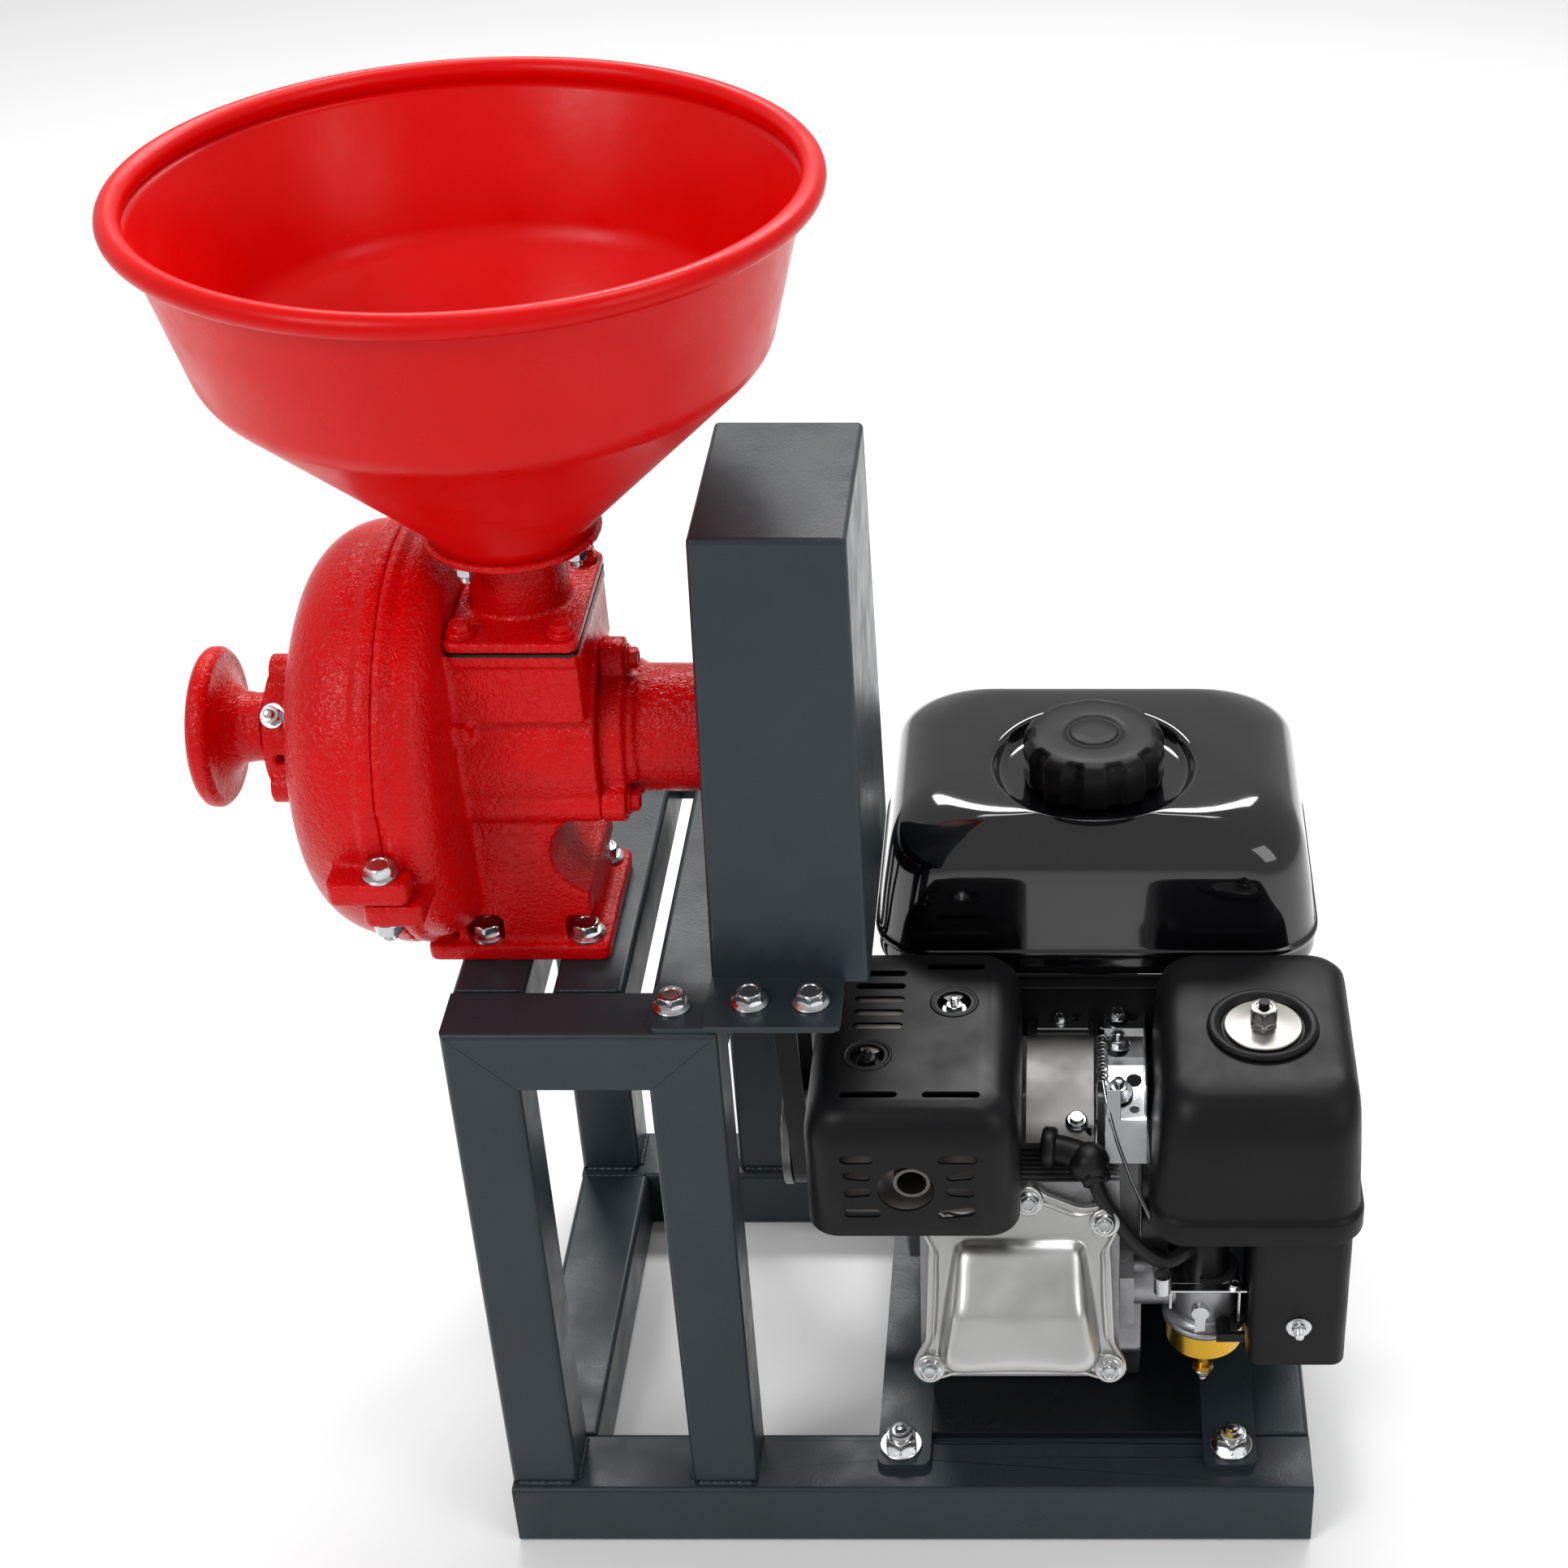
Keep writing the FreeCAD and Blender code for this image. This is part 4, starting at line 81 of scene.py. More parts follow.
def material(name, color, rough, metal=0.0, coat=0.0, coat_rough=0.1, spread=0.12, rough_spread=0.08,
             grain=0.0, grain_size=2.0, swirl=0.0, fine=0.0, fine_size=0.5, dirt=0.0, specular=0.5):
    """A procedural surface: clouded colour and gloss, a coarse grain and a fine grain as bump."""
    mat = bpy.data.materials.new(name)
    mat.use_nodes = True
    tree = mat.node_tree
    shader = tree.nodes["Principled BSDF"]
    shader.inputs["Metallic"].default_value = metal
    shader.inputs["Coat Weight"].default_value = coat
    shader.inputs["Coat Roughness"].default_value = coat_rough
    shader.inputs["Specular IOR Level"].default_value = specular
    place = tree.nodes.new("ShaderNodeTexCoord").outputs["Object"]

    def noise(size, detail=3.0, distortion=0.0):
        node = tree.nodes.new("ShaderNodeTexNoise")
        node.inputs["Scale"].default_value = 1000.0 / size
        node.inputs["Detail"].default_value = detail
        node.inputs["Distortion"].default_value = distortion
        tree.links.new(place, node.inputs["Vector"])
        return node.outputs["Fac"]

    def ramp(source, low, high):
        node = tree.nodes.new("ShaderNodeMapRange")
        node.inputs["From Min"].default_value = 0.3
        node.inputs["From Max"].default_value = 0.7
        node.inputs["To Min"].default_value = low
        node.inputs["To Max"].default_value = high
        tree.links.new(source, node.inputs["Value"])
        return node.outputs["Result"]

    cloud = noise(70.0, 5.0, 0.4)
    shade = tree.nodes.new("ShaderNodeMix")
    shade.data_type = "RGBA"
    shade.inputs["A"].default_value = [c * (1 - spread) for c in color] + [1]
    shade.inputs["B"].default_value = [min(1.0, c * (1 + spread)) for c in color] + [1]
    tree.links.new(ramp(cloud, 0.0, 1.0), shade.inputs["Factor"])
    tint = shade.outputs["Result"]
    if dirt:
        specks = noise(9.0, 6.0, 1.2)
        soil = tree.nodes.new("ShaderNodeMix")
        soil.data_type = "RGBA"
        soil.inputs["B"].default_value = [c * 0.45 for c in color] + [1]
        tree.links.new(tint, soil.inputs["A"])
        tree.links.new(ramp(specks, -dirt, dirt), soil.inputs["Factor"])
        tint = soil.outputs["Result"]
    tree.links.new(tint, shader.inputs["Base Color"])
    tree.links.new(ramp(noise(26.0, 4.0), rough - rough_spread, rough + rough_spread),
                   shader.inputs["Roughness"])
    normal = None
    for depth, size, twist in ((grain, grain_size, swirl), (fine, fine_size, 0.0)):
        if not depth:
            continue
        bump = tree.nodes.new("ShaderNodeBump")
        bump.inputs["Strength"].default_value = min(1.0, depth)
        bump.inputs["Distance"].default_value = size / 3000
        tree.links.new(noise(size, 2.0, twist), bump.inputs["Height"])
        if normal is not None:
            tree.links.new(normal, bump.inputs["Normal"])
        normal = bump.outputs["Normal"]
    if normal is not None:
        tree.links.new(normal, shader.inputs["Normal"])
    return mat


MATERIALS = {
    "frame_paint": dict(color=(0.022, 0.032, 0.039), rough=0.34, specular=0.32, grain=0.14, grain_size=1.6,
                        fine=0.08, fine_size=0.5, spread=0.08),
    "zinc_steel": dict(color=(0.62, 0.63, 0.64), rough=0.22, metal=1.0, fine=0.1, spread=0.1, dirt=0.12),
    "cast_red": dict(color=(0.62, 0.001, 0.002), rough=0.27, specular=0.22, grain=0.8, grain_size=3.6,
                     swirl=1.5, fine=0.12, fine_size=0.8, spread=0.14, dirt=0.06),
    "hopper_red": dict(color=(0.65, 0.0006, 0.0006), rough=0.32, specular=0.17, grain=0.04, grain_size=4.0,
                       fine=0.04, fine_size=0.7, spread=0.04),
    "ground_iron": dict(color=(0.28, 0.28, 0.28), rough=0.4, metal=1.0, fine=0.3, dirt=0.2),
    "bright_steel": dict(color=(0.55, 0.55, 0.54), rough=0.25, metal=1.0, fine=0.1),
    "rubber_black": dict(color=(0.006, 0.006, 0.006), rough=0.42, specular=0.35, fine=0.15, fine_size=0.6),
    "engine_aluminium": dict(color=(0.34, 0.34, 0.35), rough=0.42, metal=1.0, grain=0.25, grain_size=1.6,
                             fine=0.3, fine_size=0.5, dirt=0.25),
    "rocker_aluminium": dict(color=(0.56, 0.56, 0.55), rough=0.34, metal=1.0, fine=0.3, fine_size=0.35,
                             spread=0.06),
    "gloss_black": dict(color=(0.003, 0.003, 0.004), rough=0.08, coat=0.6, coat_rough=0.03,
                        rough_spread=0.03),
    "fan_black": dict(color=(0.006, 0.006, 0.007), rough=0.25, coat=0.2, specular=0.4, fine=0.05),
    "matte_black": dict(color=(0.007, 0.007, 0.008), rough=0.40, specular=0.17, fine=0.35, fine_size=0.4,
                        spread=0.1),
    "muffler_black": dict(color=(0.006, 0.006, 0.007), rough=0.36, specular=0.17, fine=0.3, fine_size=0.45,
                          spread=0.12),
    "muffler_steel": dict(color=(0.15, 0.14, 0.13), rough=0.42, metal=1.0, fine=0.2, dirt=0.3),
    "gold_zinc": dict(color=(0.72, 0.42, 0.04), rough=0.24, metal=1.0, fine=0.08, spread=0.12),
    "filter_foam": dict(color=(0.05, 0.05, 0.05), rough=0.9, grain=0.8, grain_size=2.5),
    # The frame paint darkened and dulled: painted shade for the engine plate, which lies in the engine's
    # shadow.
    "frame_painted_shade": dict(color=(0.007, 0.010, 0.012), rough=0.32, specular=0.22, grain=0.14, grain_size=1.6,
                       spread=0.1),
    "washer_satin": dict(color=(0.24, 0.235, 0.22), rough=0.34, metal=1.0, fine=0.1, spread=0.08),
    "shield_grey": dict(color=(0.22, 0.215, 0.21), rough=0.40, metal=1.0, fine=0.2, fine_size=0.6,
                        spread=0.14),
}
mats = {name: material(name, **look) for name, look in MATERIALS.items()}

slots = {}
for row in frame["record"]["subparts"]:
    slots[row["node"]] = row["material_slot"]
for node, obj in nodes.items():
    obj.data.materials.clear()
    # The engine plate takes the darkened frame paint, painted shade where the engine's shadow falls on it.
    obj.data.materials.append(mats["frame_painted_shade" if node == "engine_plate" else slots[node]])


def soften_cad(obj, width=0.5, angle=35, segments=2):
    """Rounds a CAD node's sharp edges a little and shades it smooth."""
    weld = obj.modifiers.new("weld", "WELD")
    weld.merge_threshold = 1e-4
    bevel = obj.modifiers.new("bevel", "BEVEL")
    bevel.width = width / 1000
    bevel.segments = segments
    bevel.limit_method = "ANGLE"
    bevel.angle_limit = math.radians(angle)
    bevel.use_clamp_overlap = True
    for polygon in obj.data.polygons:
        polygon.use_smooth = True
    normal = obj.modifiers.new("normal", "WEIGHTED_NORMAL")
    normal.keep_sharp = False


# ---- piece makers


def add_piece(name, mesh, slot, body="stand", look=None):
    obj = bpy.data.objects.new(name, mesh)
    scene.collection.objects.link(obj)
    mesh.materials.clear()
    mesh.materials.append(mats[look or slot])
    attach(obj, body)
    return obj


def finished(obj, width=0.0, levels=0, angle=40):
    """Bevels and subdivides a made piece and shades it smooth."""
    for polygon in obj.data.polygons:
        polygon.use_smooth = True
    if width:
        bevel = obj.modifiers.new("bevel", "BEVEL")
        bevel.width = width / 1000
        bevel.segments = 3
        bevel.limit_method = "ANGLE"
        bevel.angle_limit = math.radians(angle)
    if levels:
        sub = obj.modifiers.new("sub", "SUBSURF")
        sub.levels = sub.render_levels = levels
    if width:
        obj.modifiers.new("normal", "WEIGHTED_NORMAL").keep_sharp = False
    return obj


def turn_to(axis):
    """The rotation that takes +Z to axis."""
    return Vector((0, 0, 1)).rotation_difference(Vector(axis).normalized()).to_matrix().to_4x4()


def rings_mesh(rings, closed=False, capped=True):
    """A mesh through rings of points that all have the same count."""
    bm = bmesh.new()
    made = [[bm.verts.new(p) for p in ring] for ring in rings]
    count = len(rings[0])
    pairs = list(zip(made, made[1:]))
    if closed:
        pairs.append((made[-1], made[0]))
    for low, high in pairs:
        for n in range(count):
            m = (n + 1) % count
            bm.faces.new((low[n], low[m], high[m], high[n]))
    if capped and not closed:
        bm.faces.new(list(reversed(made[0])))
        bm.faces.new(made[-1])
    bmesh.ops.recalc_face_normals(bm, faces=bm.faces)
    mesh = bpy.data.meshes.new("rings")
    bm.to_mesh(mesh)
    bm.free()
    return mesh


def lathe_rings(profile, centre, axis=(0, 0, 1), segments=72, shape=None):
    """Rings of a turned shape: profile is (radius, height); shape scales the radius by angle and height."""
    matrix = Matrix.Translation(at(*centre)) @ turn_to(axis)
    rings = []
    for radius, height in profile:
        ring = []
        for n in range(segments):
            angle = 2 * math.pi * n / segments
            r = radius if shape is None else shape(radius, height, angle)
            ring.append(matrix @ (Vector((r * math.cos(angle), r * math.sin(angle), height)) / 1000))
        rings.append(ring)
    return rings


def lathe(name, profile, centre, slot, axis=(0, 0, 1), segments=72, shape=None, body="stand", look=None,
          closed=False, width=0.0):
    mesh = rings_mesh(lathe_rings(profile, centre, axis, segments, shape), closed=closed)
    return finished(add_piece(name, mesh, slot, body, look), width)


def hex_radius(flats):
    """Radius of a hexagon by angle, cut off by the chamfer's cone."""

    def shape(radius, height, angle):
        step = math.pi / 3
        local = (angle + step / 2) % step - step / 2
        return min(radius, flats / 2 / math.cos(local))

    return shape


def merged(parts):
    """One mesh from several."""
    bm = bmesh.new()
    for part in parts:
        bm.from_mesh(part)
        bpy.data.meshes.remove(part)
    mesh = bpy.data.meshes.new("merged")
    bm.to_mesh(mesh)
    bm.free()
    return mesh


def bolt_parts(centre, axis, flats=13.0, head=6.0, washer=9.8, thick=1.8, flange=False, dome=False, stem=0.0):
    """A washer and a chamfered hexagon head, with a bowl in its top or a stud end through it."""
    corner = flats / math.sqrt(3)
    parts = [rings_mesh(lathe_rings([
        (washer - 0.4, 0), (washer, 0.3), (washer, thick - 0.4), (washer - 0.5, thick),
        (washer * 0.55, thick), (washer * 0.55, 0),
    ], centre, axis, 40))]
    base = thick
    if flange:
        parts.append(rings_mesh(lathe_rings([
            (flats * 0.72, base), (flats * 0.74, base + 0.6), (flats * 0.62, base + 1.6),
            (flats * 0.4, base + 1.7),
        ], centre, axis, 40)))
        base += 0.9
    top = base + head
    profile = [
        (corner * 0.97, base), (corner, base + 0.3), (corner, top - 1.3), (flats * 0.53, top - 0.6),
        (flats * 0.485, top - 0.1), (flats * 0.45, top),
    ]
    if not stem and not dome:
        profile += [(flats * 0.36, top), (flats * 0.33, top - 0.5), (flats * 0.05, top - 0.6)]
    parts.append(rings_mesh(lathe_rings(profile, centre, axis, 72, hex_radius(flats))))
    if dome:
        parts.append(rings_mesh(lathe_rings([
            (flats * 0.42, top - 0.2), (flats * 0.42, top + 1.8), (flats * 0.38, top + 2.8),
            (flats * 0.28, top + 3.2),
        ], centre, axis, 40)))
    if stem:
        radius = stem
        profile = [(radius, top - 1)]
        for n in range(4):
            profile += [(radius, top + n), (radius - 0.35, top + n + 0.5)]
        profile += [(radius - 0.2, top + 4), (radius - 1, top + 4.4)]
        parts.append(rings_mesh(lathe_rings(profile, centre, axis, 32)))
    return parts


def bolts(name, rows, slot, body="stand", look=None, replaces=()):
    """One piece from a list of (centre, axis, options)."""
    parts = []
    for centre, axis, options in rows:
        parts += bolt_parts(centre, axis, **options)
    obj = add_piece(name, merged(parts), slot, body, look)
    for polygon in obj.data.polygons:
        polygon.use_smooth = True
    sharp = obj.modifiers.new("split", "EDGE_SPLIT")
    sharp.split_angle = math.radians(28)
    if replaces:
        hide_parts(*replaces)
    return obj


def cast_piece(node, voxel, rounds, body="stand"):
    """A casting made from a CAD node: its mesh rebuilt in small even faces, then smoothed into blends."""
    source = nodes[node]
    mesh = source.data.copy()
    bm = bmesh.new()
    bm.from_mesh(mesh)
    bmesh.ops.remove_doubles(bm, verts=bm.verts, dist=1e-5)
    bm.to_mesh(mesh)
    bm.free()
    work = bpy.data.objects.new(node + "_work", mesh)
    scene.collection.objects.link(work)
    remesh = work.modifiers.new("remesh", "REMESH")
    remesh.mode = "VOXEL"
    remesh.voxel_size = voxel / 1000
    remesh.use_smooth_shade = True
    smooth = work.modifiers.new("smooth", "SMOOTH")
    smooth.factor = 0.5
    smooth.iterations = rounds
    graph = bpy.context.evaluated_depsgraph_get()
    made = bpy.data.meshes.new_from_object(work.evaluated_get(graph))
    bpy.data.objects.remove(work)
    for polygon in made.polygons:
        polygon.use_smooth = True
    obj = add_piece(node + "_cast", made, slots[node], body)
    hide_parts(node)
    return obj


def tube_mesh(points, radius, resolution=12):
    """A round tube along a smooth line through points, as a mesh."""
    curve = bpy.data.curves.new("tube", "CURVE")
    curve.dimensions = "3D"
    curve.bevel_depth = radius / 1000
    curve.bevel_resolution = 5
    curve.resolution_u = resolution
    curve.use_fill_caps = True
    line = curve.splines.new("NURBS")
    line.points.add(len(points) - 1)
    for point, spot in zip(line.points, points):
        point.co = (*at(*spot), 1)
    line.order_u = 3
    line.use_endpoint_u = True
    obj = bpy.data.objects.new("tube", curve)
    scene.collection.objects.link(obj)
    mesh = bpy.data.meshes.new_from_object(obj.evaluated_get(bpy.context.evaluated_depsgraph_get()))
    bpy.data.objects.remove(obj)
    return mesh


def tube(name, points, radius, slot, body="stand", look=None):
    return finished(add_piece(name, tube_mesh(points, radius), slot, body, look))


def rounded_rect(half_x, half_y, radius, steps=8):
    """Points round a rectangle with round corners, anticlockwise."""
    points = []
    for cx, cy, start in ((1, 1, 0), (-1, 1, 90), (-1, -1, 180), (1, -1, 270)):
        for n in range(steps + 1):
            angle = math.radians(start + 90 * n / steps)
            points.append((cx * (half_x - radius) + radius * math.cos(angle),
                           cy * (half_y - radius) + radius * math.sin(angle)))
    return points


def block_mesh(low, high):
    bm = bmesh.new()
    bmesh.ops.create_cube(bm, size=1.0)
    low, high = at(*low), at(*high)
    for vert in bm.verts:
        vert.co = [low[i] + (vert.co[i] + 0.5) * (high[i] - low[i]) for i in range(3)]
    mesh = bpy.data.meshes.new("block")
    bm.to_mesh(mesh)
    bm.free()
    return mesh


def sheet_mesh(line, left, right, thick):
    """A bent plate: a line of (y, z) points, extruded from X left to right, with a thickness."""
    rings = []
    for index, (y, z) in enumerate(line):
        before = Vector(line[max(index - 1, 0)])
        after = Vector(line[min(index + 1, len(line) - 1)])
        run = (after - before).normalized()
        side = Vector((-run.y, run.x)) * thick
        rings.append([at(left, y, z), at(right, y, z), at(right, y + side.x, z + side.y),
                      at(left, y + side.x, z + side.y)])
    return rings_mesh(rings)


# ---- stand: softened CAD tubes, weld beads and fixings

SOFT_CAD = {
    "base_tubes": 0.5, "stand_legs": 0.4, "table_tubes": 0.4, "engine_rails": 0.6, "engine_plate": 0.5,
    "belt_guard": 0.5, "guard_bracket": 0.5, "cylinder_head": 0.6,
    "fan_housing": 0.6, "recoil_cover": 0.6, "air_cleaner_base": 0.8, "carburettor": 0.8, "v_belt": 0.4,
    "mill_pulley": 0.5, "engine_pulley": 0.5, "throttle_lever": 0.4, "choke_lever": 0.3, "fuel_valve": 0.5,
    "crankshaft": 0.4, "mill_shaft": 0.4, "flywheel": 0.4, "muffler": 0.5,
}
for node, width in SOFT_CAD.items():
    soften_cad(nodes[node], width)
soften_cad(nodes["adjuster_handwheel"], 1.2, angle=20, segments=3)
for node in ("adjuster_spindle", "bearing_outer_rings", "shaft_seal", "spark_plug"):
    soften_cad(nodes[node], 0.3)


def bead(start, end, radius=2.2):
    """A weld bead: an uneven string between two points."""
    start, end = Vector(start), Vector(end)
    length = (end - start).length
    count = max(4, int(length / 1.6))
    run = (end - start).normalized()
    matrix = turn_to(run)
    rings = []
    for n in range(count + 1):
        along = n / count
        swell = radius * (0.86 + 0.14 * math.sin(n * 2.1) + 0.06 * math.sin(n * 0.83 + 1))
        if n in (0, count):
            swell *= 0.35
        centre = at(*(start + (end - start) * along))
        rings.append([centre + matrix @ (Vector((math.cos(a), math.sin(a), 0)) * swell / 1000)
                      for a in [2 * math.pi * k / 10 for k in range(10)]])
    return rings_mesh(rings)


welds = []
BASE_TOP = 44.0
for y in (5.5, 276.0):
    for x in (0.0, 105.0):
        welds.append(bead((x + 3, y + 0.2, BASE_TOP), (x + 35, y + 0.2, BASE_TOP)))
        welds.append(bead((x + 3, y + 37.8, BASE_TOP), (x + 35, y + 37.8, BASE_TOP)))
        welds.append(bead((x + (38 if x == 0 else 0), y + 3, BASE_TOP),
                          (x + (38 if x == 0 else 0), y + 35, BASE_TOP)))
for x in (22.0, 444.0):
    for y in (44.0, 270.0):
        welds.append(bead((x - 20, y, BASE_TOP - 0.4), (x + 20, y, BASE_TOP - 0.4), 1.4))
for n in range(3):
    x = 52.5 * n
    for y in (43.5, 276.0):
        welds.append(bead((x + 3, y, 377.6), (x + 35, y, 377.6), 1.3))
finished(add_piece("stand_welds", merged(welds), "frame_paint"))

FRAME_BOLT = dict(flats=13.0, head=6.0, washer=9.8, flange=False)
foot_spots = [(x, y, 388.0) for x in (14.5, 67.0) for y in (79.0, 149.0)]
guard_spots = [(118.0, 26.0, 381.0), (158.5, 26.0, 383.5), (190.0, 26.0, 383.5)]
engine_spots = [(x, y, 57.0) for x in (264.0, 340.0) for y in (109.0, 271.0)]
rows = [(spot, (0, 0, 1), dict(FRAME_BOLT, flange=True)) for spot in foot_spots + guard_spots]
rows += [(spot, (0, 0, 1), FRAME_BOLT) for spot in engine_spots]
bolts("frame_bolt_heads", rows, "zinc_steel", replaces=("frame_bolts",))
rail_spots = [(x, y, 49.0) for x in (225.0, 419.0) for y in (30.0, 288.0)]
bolts("rail_nuts", [(spot, (0, 0, 1), dict(flats=17.0, head=8.0, washer=12.3, dome=True, stem=3.8))
                    for spot in rail_spots], "zinc_steel", replaces=("rail_studs",))

# ---- mill: castings with blended corners

cast_piece("mill_body", 1.6, 5)
cast_piece("front_cover", 1.6, 5)
cast_piece("bearing_housing", 1.4, 4)
cast_piece("inlet_neck", 1.3, 4)
cast_piece("adjuster_cap", 1.2, 4)
LUG_Y = (-3.0, 231.0)
lug_bolt = [((-12.0, y, 485.0), (0, 0, 1), dict(flats=13.0, head=6.0, washer=8.4)) for y in LUG_Y]
lug_bolt += [((-12.0, y, 460.0), (0, 0, -1), dict(flats=13.0, head=6.0, washer=8.0, stem=3.8))
             for y in LUG_Y]
bolts("clamp_bolt_heads", lug_bolt, "zinc_steel", replaces=("clamp_bolts",))

# ---- hopper: one smooth spun sheet with a rolled rim

HOPPER = (47.0, 114.0, 0.0)


def arc(centre, radius, start, end, steps):
    angles = [math.radians(start + (end - start) * n / steps) for n in range(steps + 1)]
    return [(centre[0] + radius * math.cos(a), centre[1] + radius * math.sin(a)) for a in angles]


def fold(before, corner, after, radius, steps=8):
    """Points that round a corner of a line."""
    a = (Vector(before) - Vector(corner)).normalized()
    b = (Vector(after) - Vector(corner)).normalized()
    half = a.angle(b) / 2
    reach = radius / math.tan(half)
    middle = Vector(corner) + (a + b).normalized() * (radius / math.sin(half))
    first, last = Vector(corner) + a * reach - middle, Vector(corner) + b * reach - middle
    turn = first.angle_signed(last)
    return [tuple(middle + Matrix.Rotation(-turn * n / steps, 2) @ first) for n in range(steps + 1)]


outer_wall = [(21.0, 616.0), (42.0, 616.0), (42.0, 621.0)]
outer_wall += fold((42.0, 622.0), (136.0, 714.0), (156.0, 793.0), 25.0)
inner_wall = list(reversed(fold((40.5, 622.6), (134.5, 714.6), (154.5, 793.0), 23.5)))
inner_wall += [(40.5, 623.0), (40.5, 617.5), (21.0, 617.5)]
rolled = arc((159.0, 793.0), 6.0, 232, -128, 26)
hopper_line = outer_wall + [(153.9, 784.5)] + rolled + [(152.4, 784.5)] + inner_wall
hopper = lathe("hopper_spun", hopper_line, HOPPER, "hopper_red", segments=160, closed=True)
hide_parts("hopper")

screw_spots = [(HOPPER[0] + 36.5 * math.cos(math.radians(a)), HOPPER[1] + 36.5 * math.sin(math.radians(a)))
               for a in (240, 335, 95)]
rows = [((x, y, 612.0), (0, 0, -1), dict(flats=10.0, head=5.0, washer=7.0, thick=1.4, stem=2.9))
        for x, y in screw_spots]
rows += [((x, y, 617.5), (0, 0, 1), dict(flats=7.0, head=2.6, washer=4.0, thick=0.6)) for x, y in screw_spots]
bolts("hopper_fixings", rows, "zinc_steel", replaces=("hopper_screws",))
inlet_top = 562.0 + 13.5
rows = [((x, y, inlet_top), (0, 0, 1), dict(flats=9.8, head=4.5, washer=7.4, thick=1.6, flange=True))
        for x in (23.5, 73.5) for y in (75.5, 152.5)]
for angle in (90, 212, 328):
    y, z = 114 + 42 * math.cos(math.radians(angle)), 497 + 42 * math.sin(math.radians(angle))
    rows.append(((97.0, y, z), (1, 0, 0), dict(flats=9.8, head=4.5, washer=7.4, thick=1.6)))
bolts("casting_bolt_heads", rows, "cast_red", replaces=("casting_bolts",))
rows = [((-79.0, 82.0, 523.8), (0, -0.766, 0.643),
         dict(flats=9.0, head=5.0, washer=6.5, thick=1.2, stem=2.6))]
bolts("cap_lock_screw", rows, "zinc_steel", replaces=("adjuster_lock_screw",))

# ---- engine: fuel tank and cap


def spaced(points, count):
    """The same closed line with evenly spaced points."""
    ends = points[1:] + points[:1]
    runs = [math.dist(p, q) for p, q in zip(points, ends)]
    step = sum(runs) / count
    made, index, before = [], 0, 0.0
    for n in range(count):
        while before + runs[index] < n * step:
            before += runs[index]
            index += 1
        share = (n * step - before) / runs[index]
        made.append(tuple(p + (q - p) * share for p, q in zip(points[index], ends[index])))
    return made


def tank_ring(half_x, front, back, radius, z):
    middle_y, half_y = 251.0 + (back - front) / 2, (front + back) / 2
    return [at(340.0 + x, middle_y + y, z) for x, y in spaced(rounded_rect(half_x, half_y, radius, 10), 144)]


TANK_STEPS = [
    # half X, reach to the front, reach to the back, corner radius, height
    (124.0, 87, 87, 30, 296.0), (127.0, 90, 90, 32, 297.0), (128.0, 91, 91, 32, 300.0),
    (127.6, 90.6, 90.6, 32, 309.0), (127.8, 90.8, 90.8, 32, 310.0), (128.6, 91.2, 91.2, 33, 310.6),
    (129.2, 91.6, 91.6, 33, 311.4), (129.2, 91.6, 91.6, 33, 313.4), (128.6, 91.2, 91.2, 33, 314.2),
    (127.2, 90.4, 90.4, 32, 314.8), (126.6, 90.0, 90.4, 32, 317.0), (124.4, 89.2, 90.4, 33, 338.0),
    (121.6, 88.0, 90.2, 34, 356.0), (120.2, 87.0, 90.0, 34, 364.0), (118.6, 85.4, 89.2, 35, 371.0),
    (115.6, 82.0, 87.0, 36, 377.6), (110.6, 76.8, 83.0, 37, 383.4), (104.0, 71.6, 77.6, 38, 388.0),
    (96.0, 67.6, 71.6, 39, 391.2), (88.0, 66.4, 66.0, 42, 392.8),
]
WELL = (338.0, 238.0)


def tank_shell():
    """The tank's skin from its foot up to the dish round the filler."""
    rings = [tank_ring(*row) for row in TANK_STEPS]
    outer_loop = rings[-1]
    well = []
    for index, spot in enumerate(outer_loop):
        angle = math.atan2(spot.y - at(*WELL, 0).y, spot.x - at(*WELL, 0).x)
        well.append(angle)
    for radius, z in ((62.0, 393.6), (60.0, 393.4), (58.4, 392.0), (57.2, 389.0), (55.4, 386.0),
                      (52.0, 384.2), (48.0, 384.0), (22.0, 384.0)):
        rings.append([at(WELL[0] + radius * math.cos(a), WELL[1] + radius * math.sin(a), z) for a in well])
    rings.append([at(WELL[0] + 22 * math.cos(a), WELL[1] + 22 * math.sin(a), 395.6) for a in well])
    rings.append([at(WELL[0] + 20 * math.cos(a), WELL[1] + 20 * math.sin(a), 395.8) for a in well])
    rings.append([at(WELL[0] + 20 * math.cos(a), WELL[1] + 20 * math.sin(a), 366.0) for a in well])
    return rings_mesh(rings)


tank = add_piece("fuel_tank_shell", tank_shell(), "gloss_black")
finished(tank)
tank.modifiers.new("sub", "SUBSURF").levels = 1
tank.modifiers["sub"].render_levels = 2
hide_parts("fuel_tank")


def scalloped(count, depth, width):
    """A grip outline: a circle with round bites."""

    def shape(radius, height, angle):
        if radius < 37:
            return radius
        step = 2 * math.pi / count
        local = abs((angle + step / 2) % step - step / 2) / (step / 2)
        return radius - depth * max(0.0, 1 - (local / width) ** 2)

    return shape


cap = lathe("fuel_cap_grip", [
    (24.0, 385.4), (38.0, 385.2), (40.0, 386.4), (41.2, 389.4), (41.4, 405.0), (41.0, 408.4), (39.6, 411.2),
    (37.2, 413.0), (36.4, 413.4), (33.0, 414.4), (29.0, 414.8), (20.0, 414.6), (16.4, 414.4), (15.6, 413.6),
    (14.6, 413.6), (13.8, 414.4), (12.8, 414.8), (6.0, 414.9), (0.5, 414.9),
], (WELL[0], WELL[1], 0.0), "matte_black", segments=240, shape=scalloped(10, 3.6, 0.5), body="cap")
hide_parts("tank_cap")



# ---- muffler guard and air cleaner cover


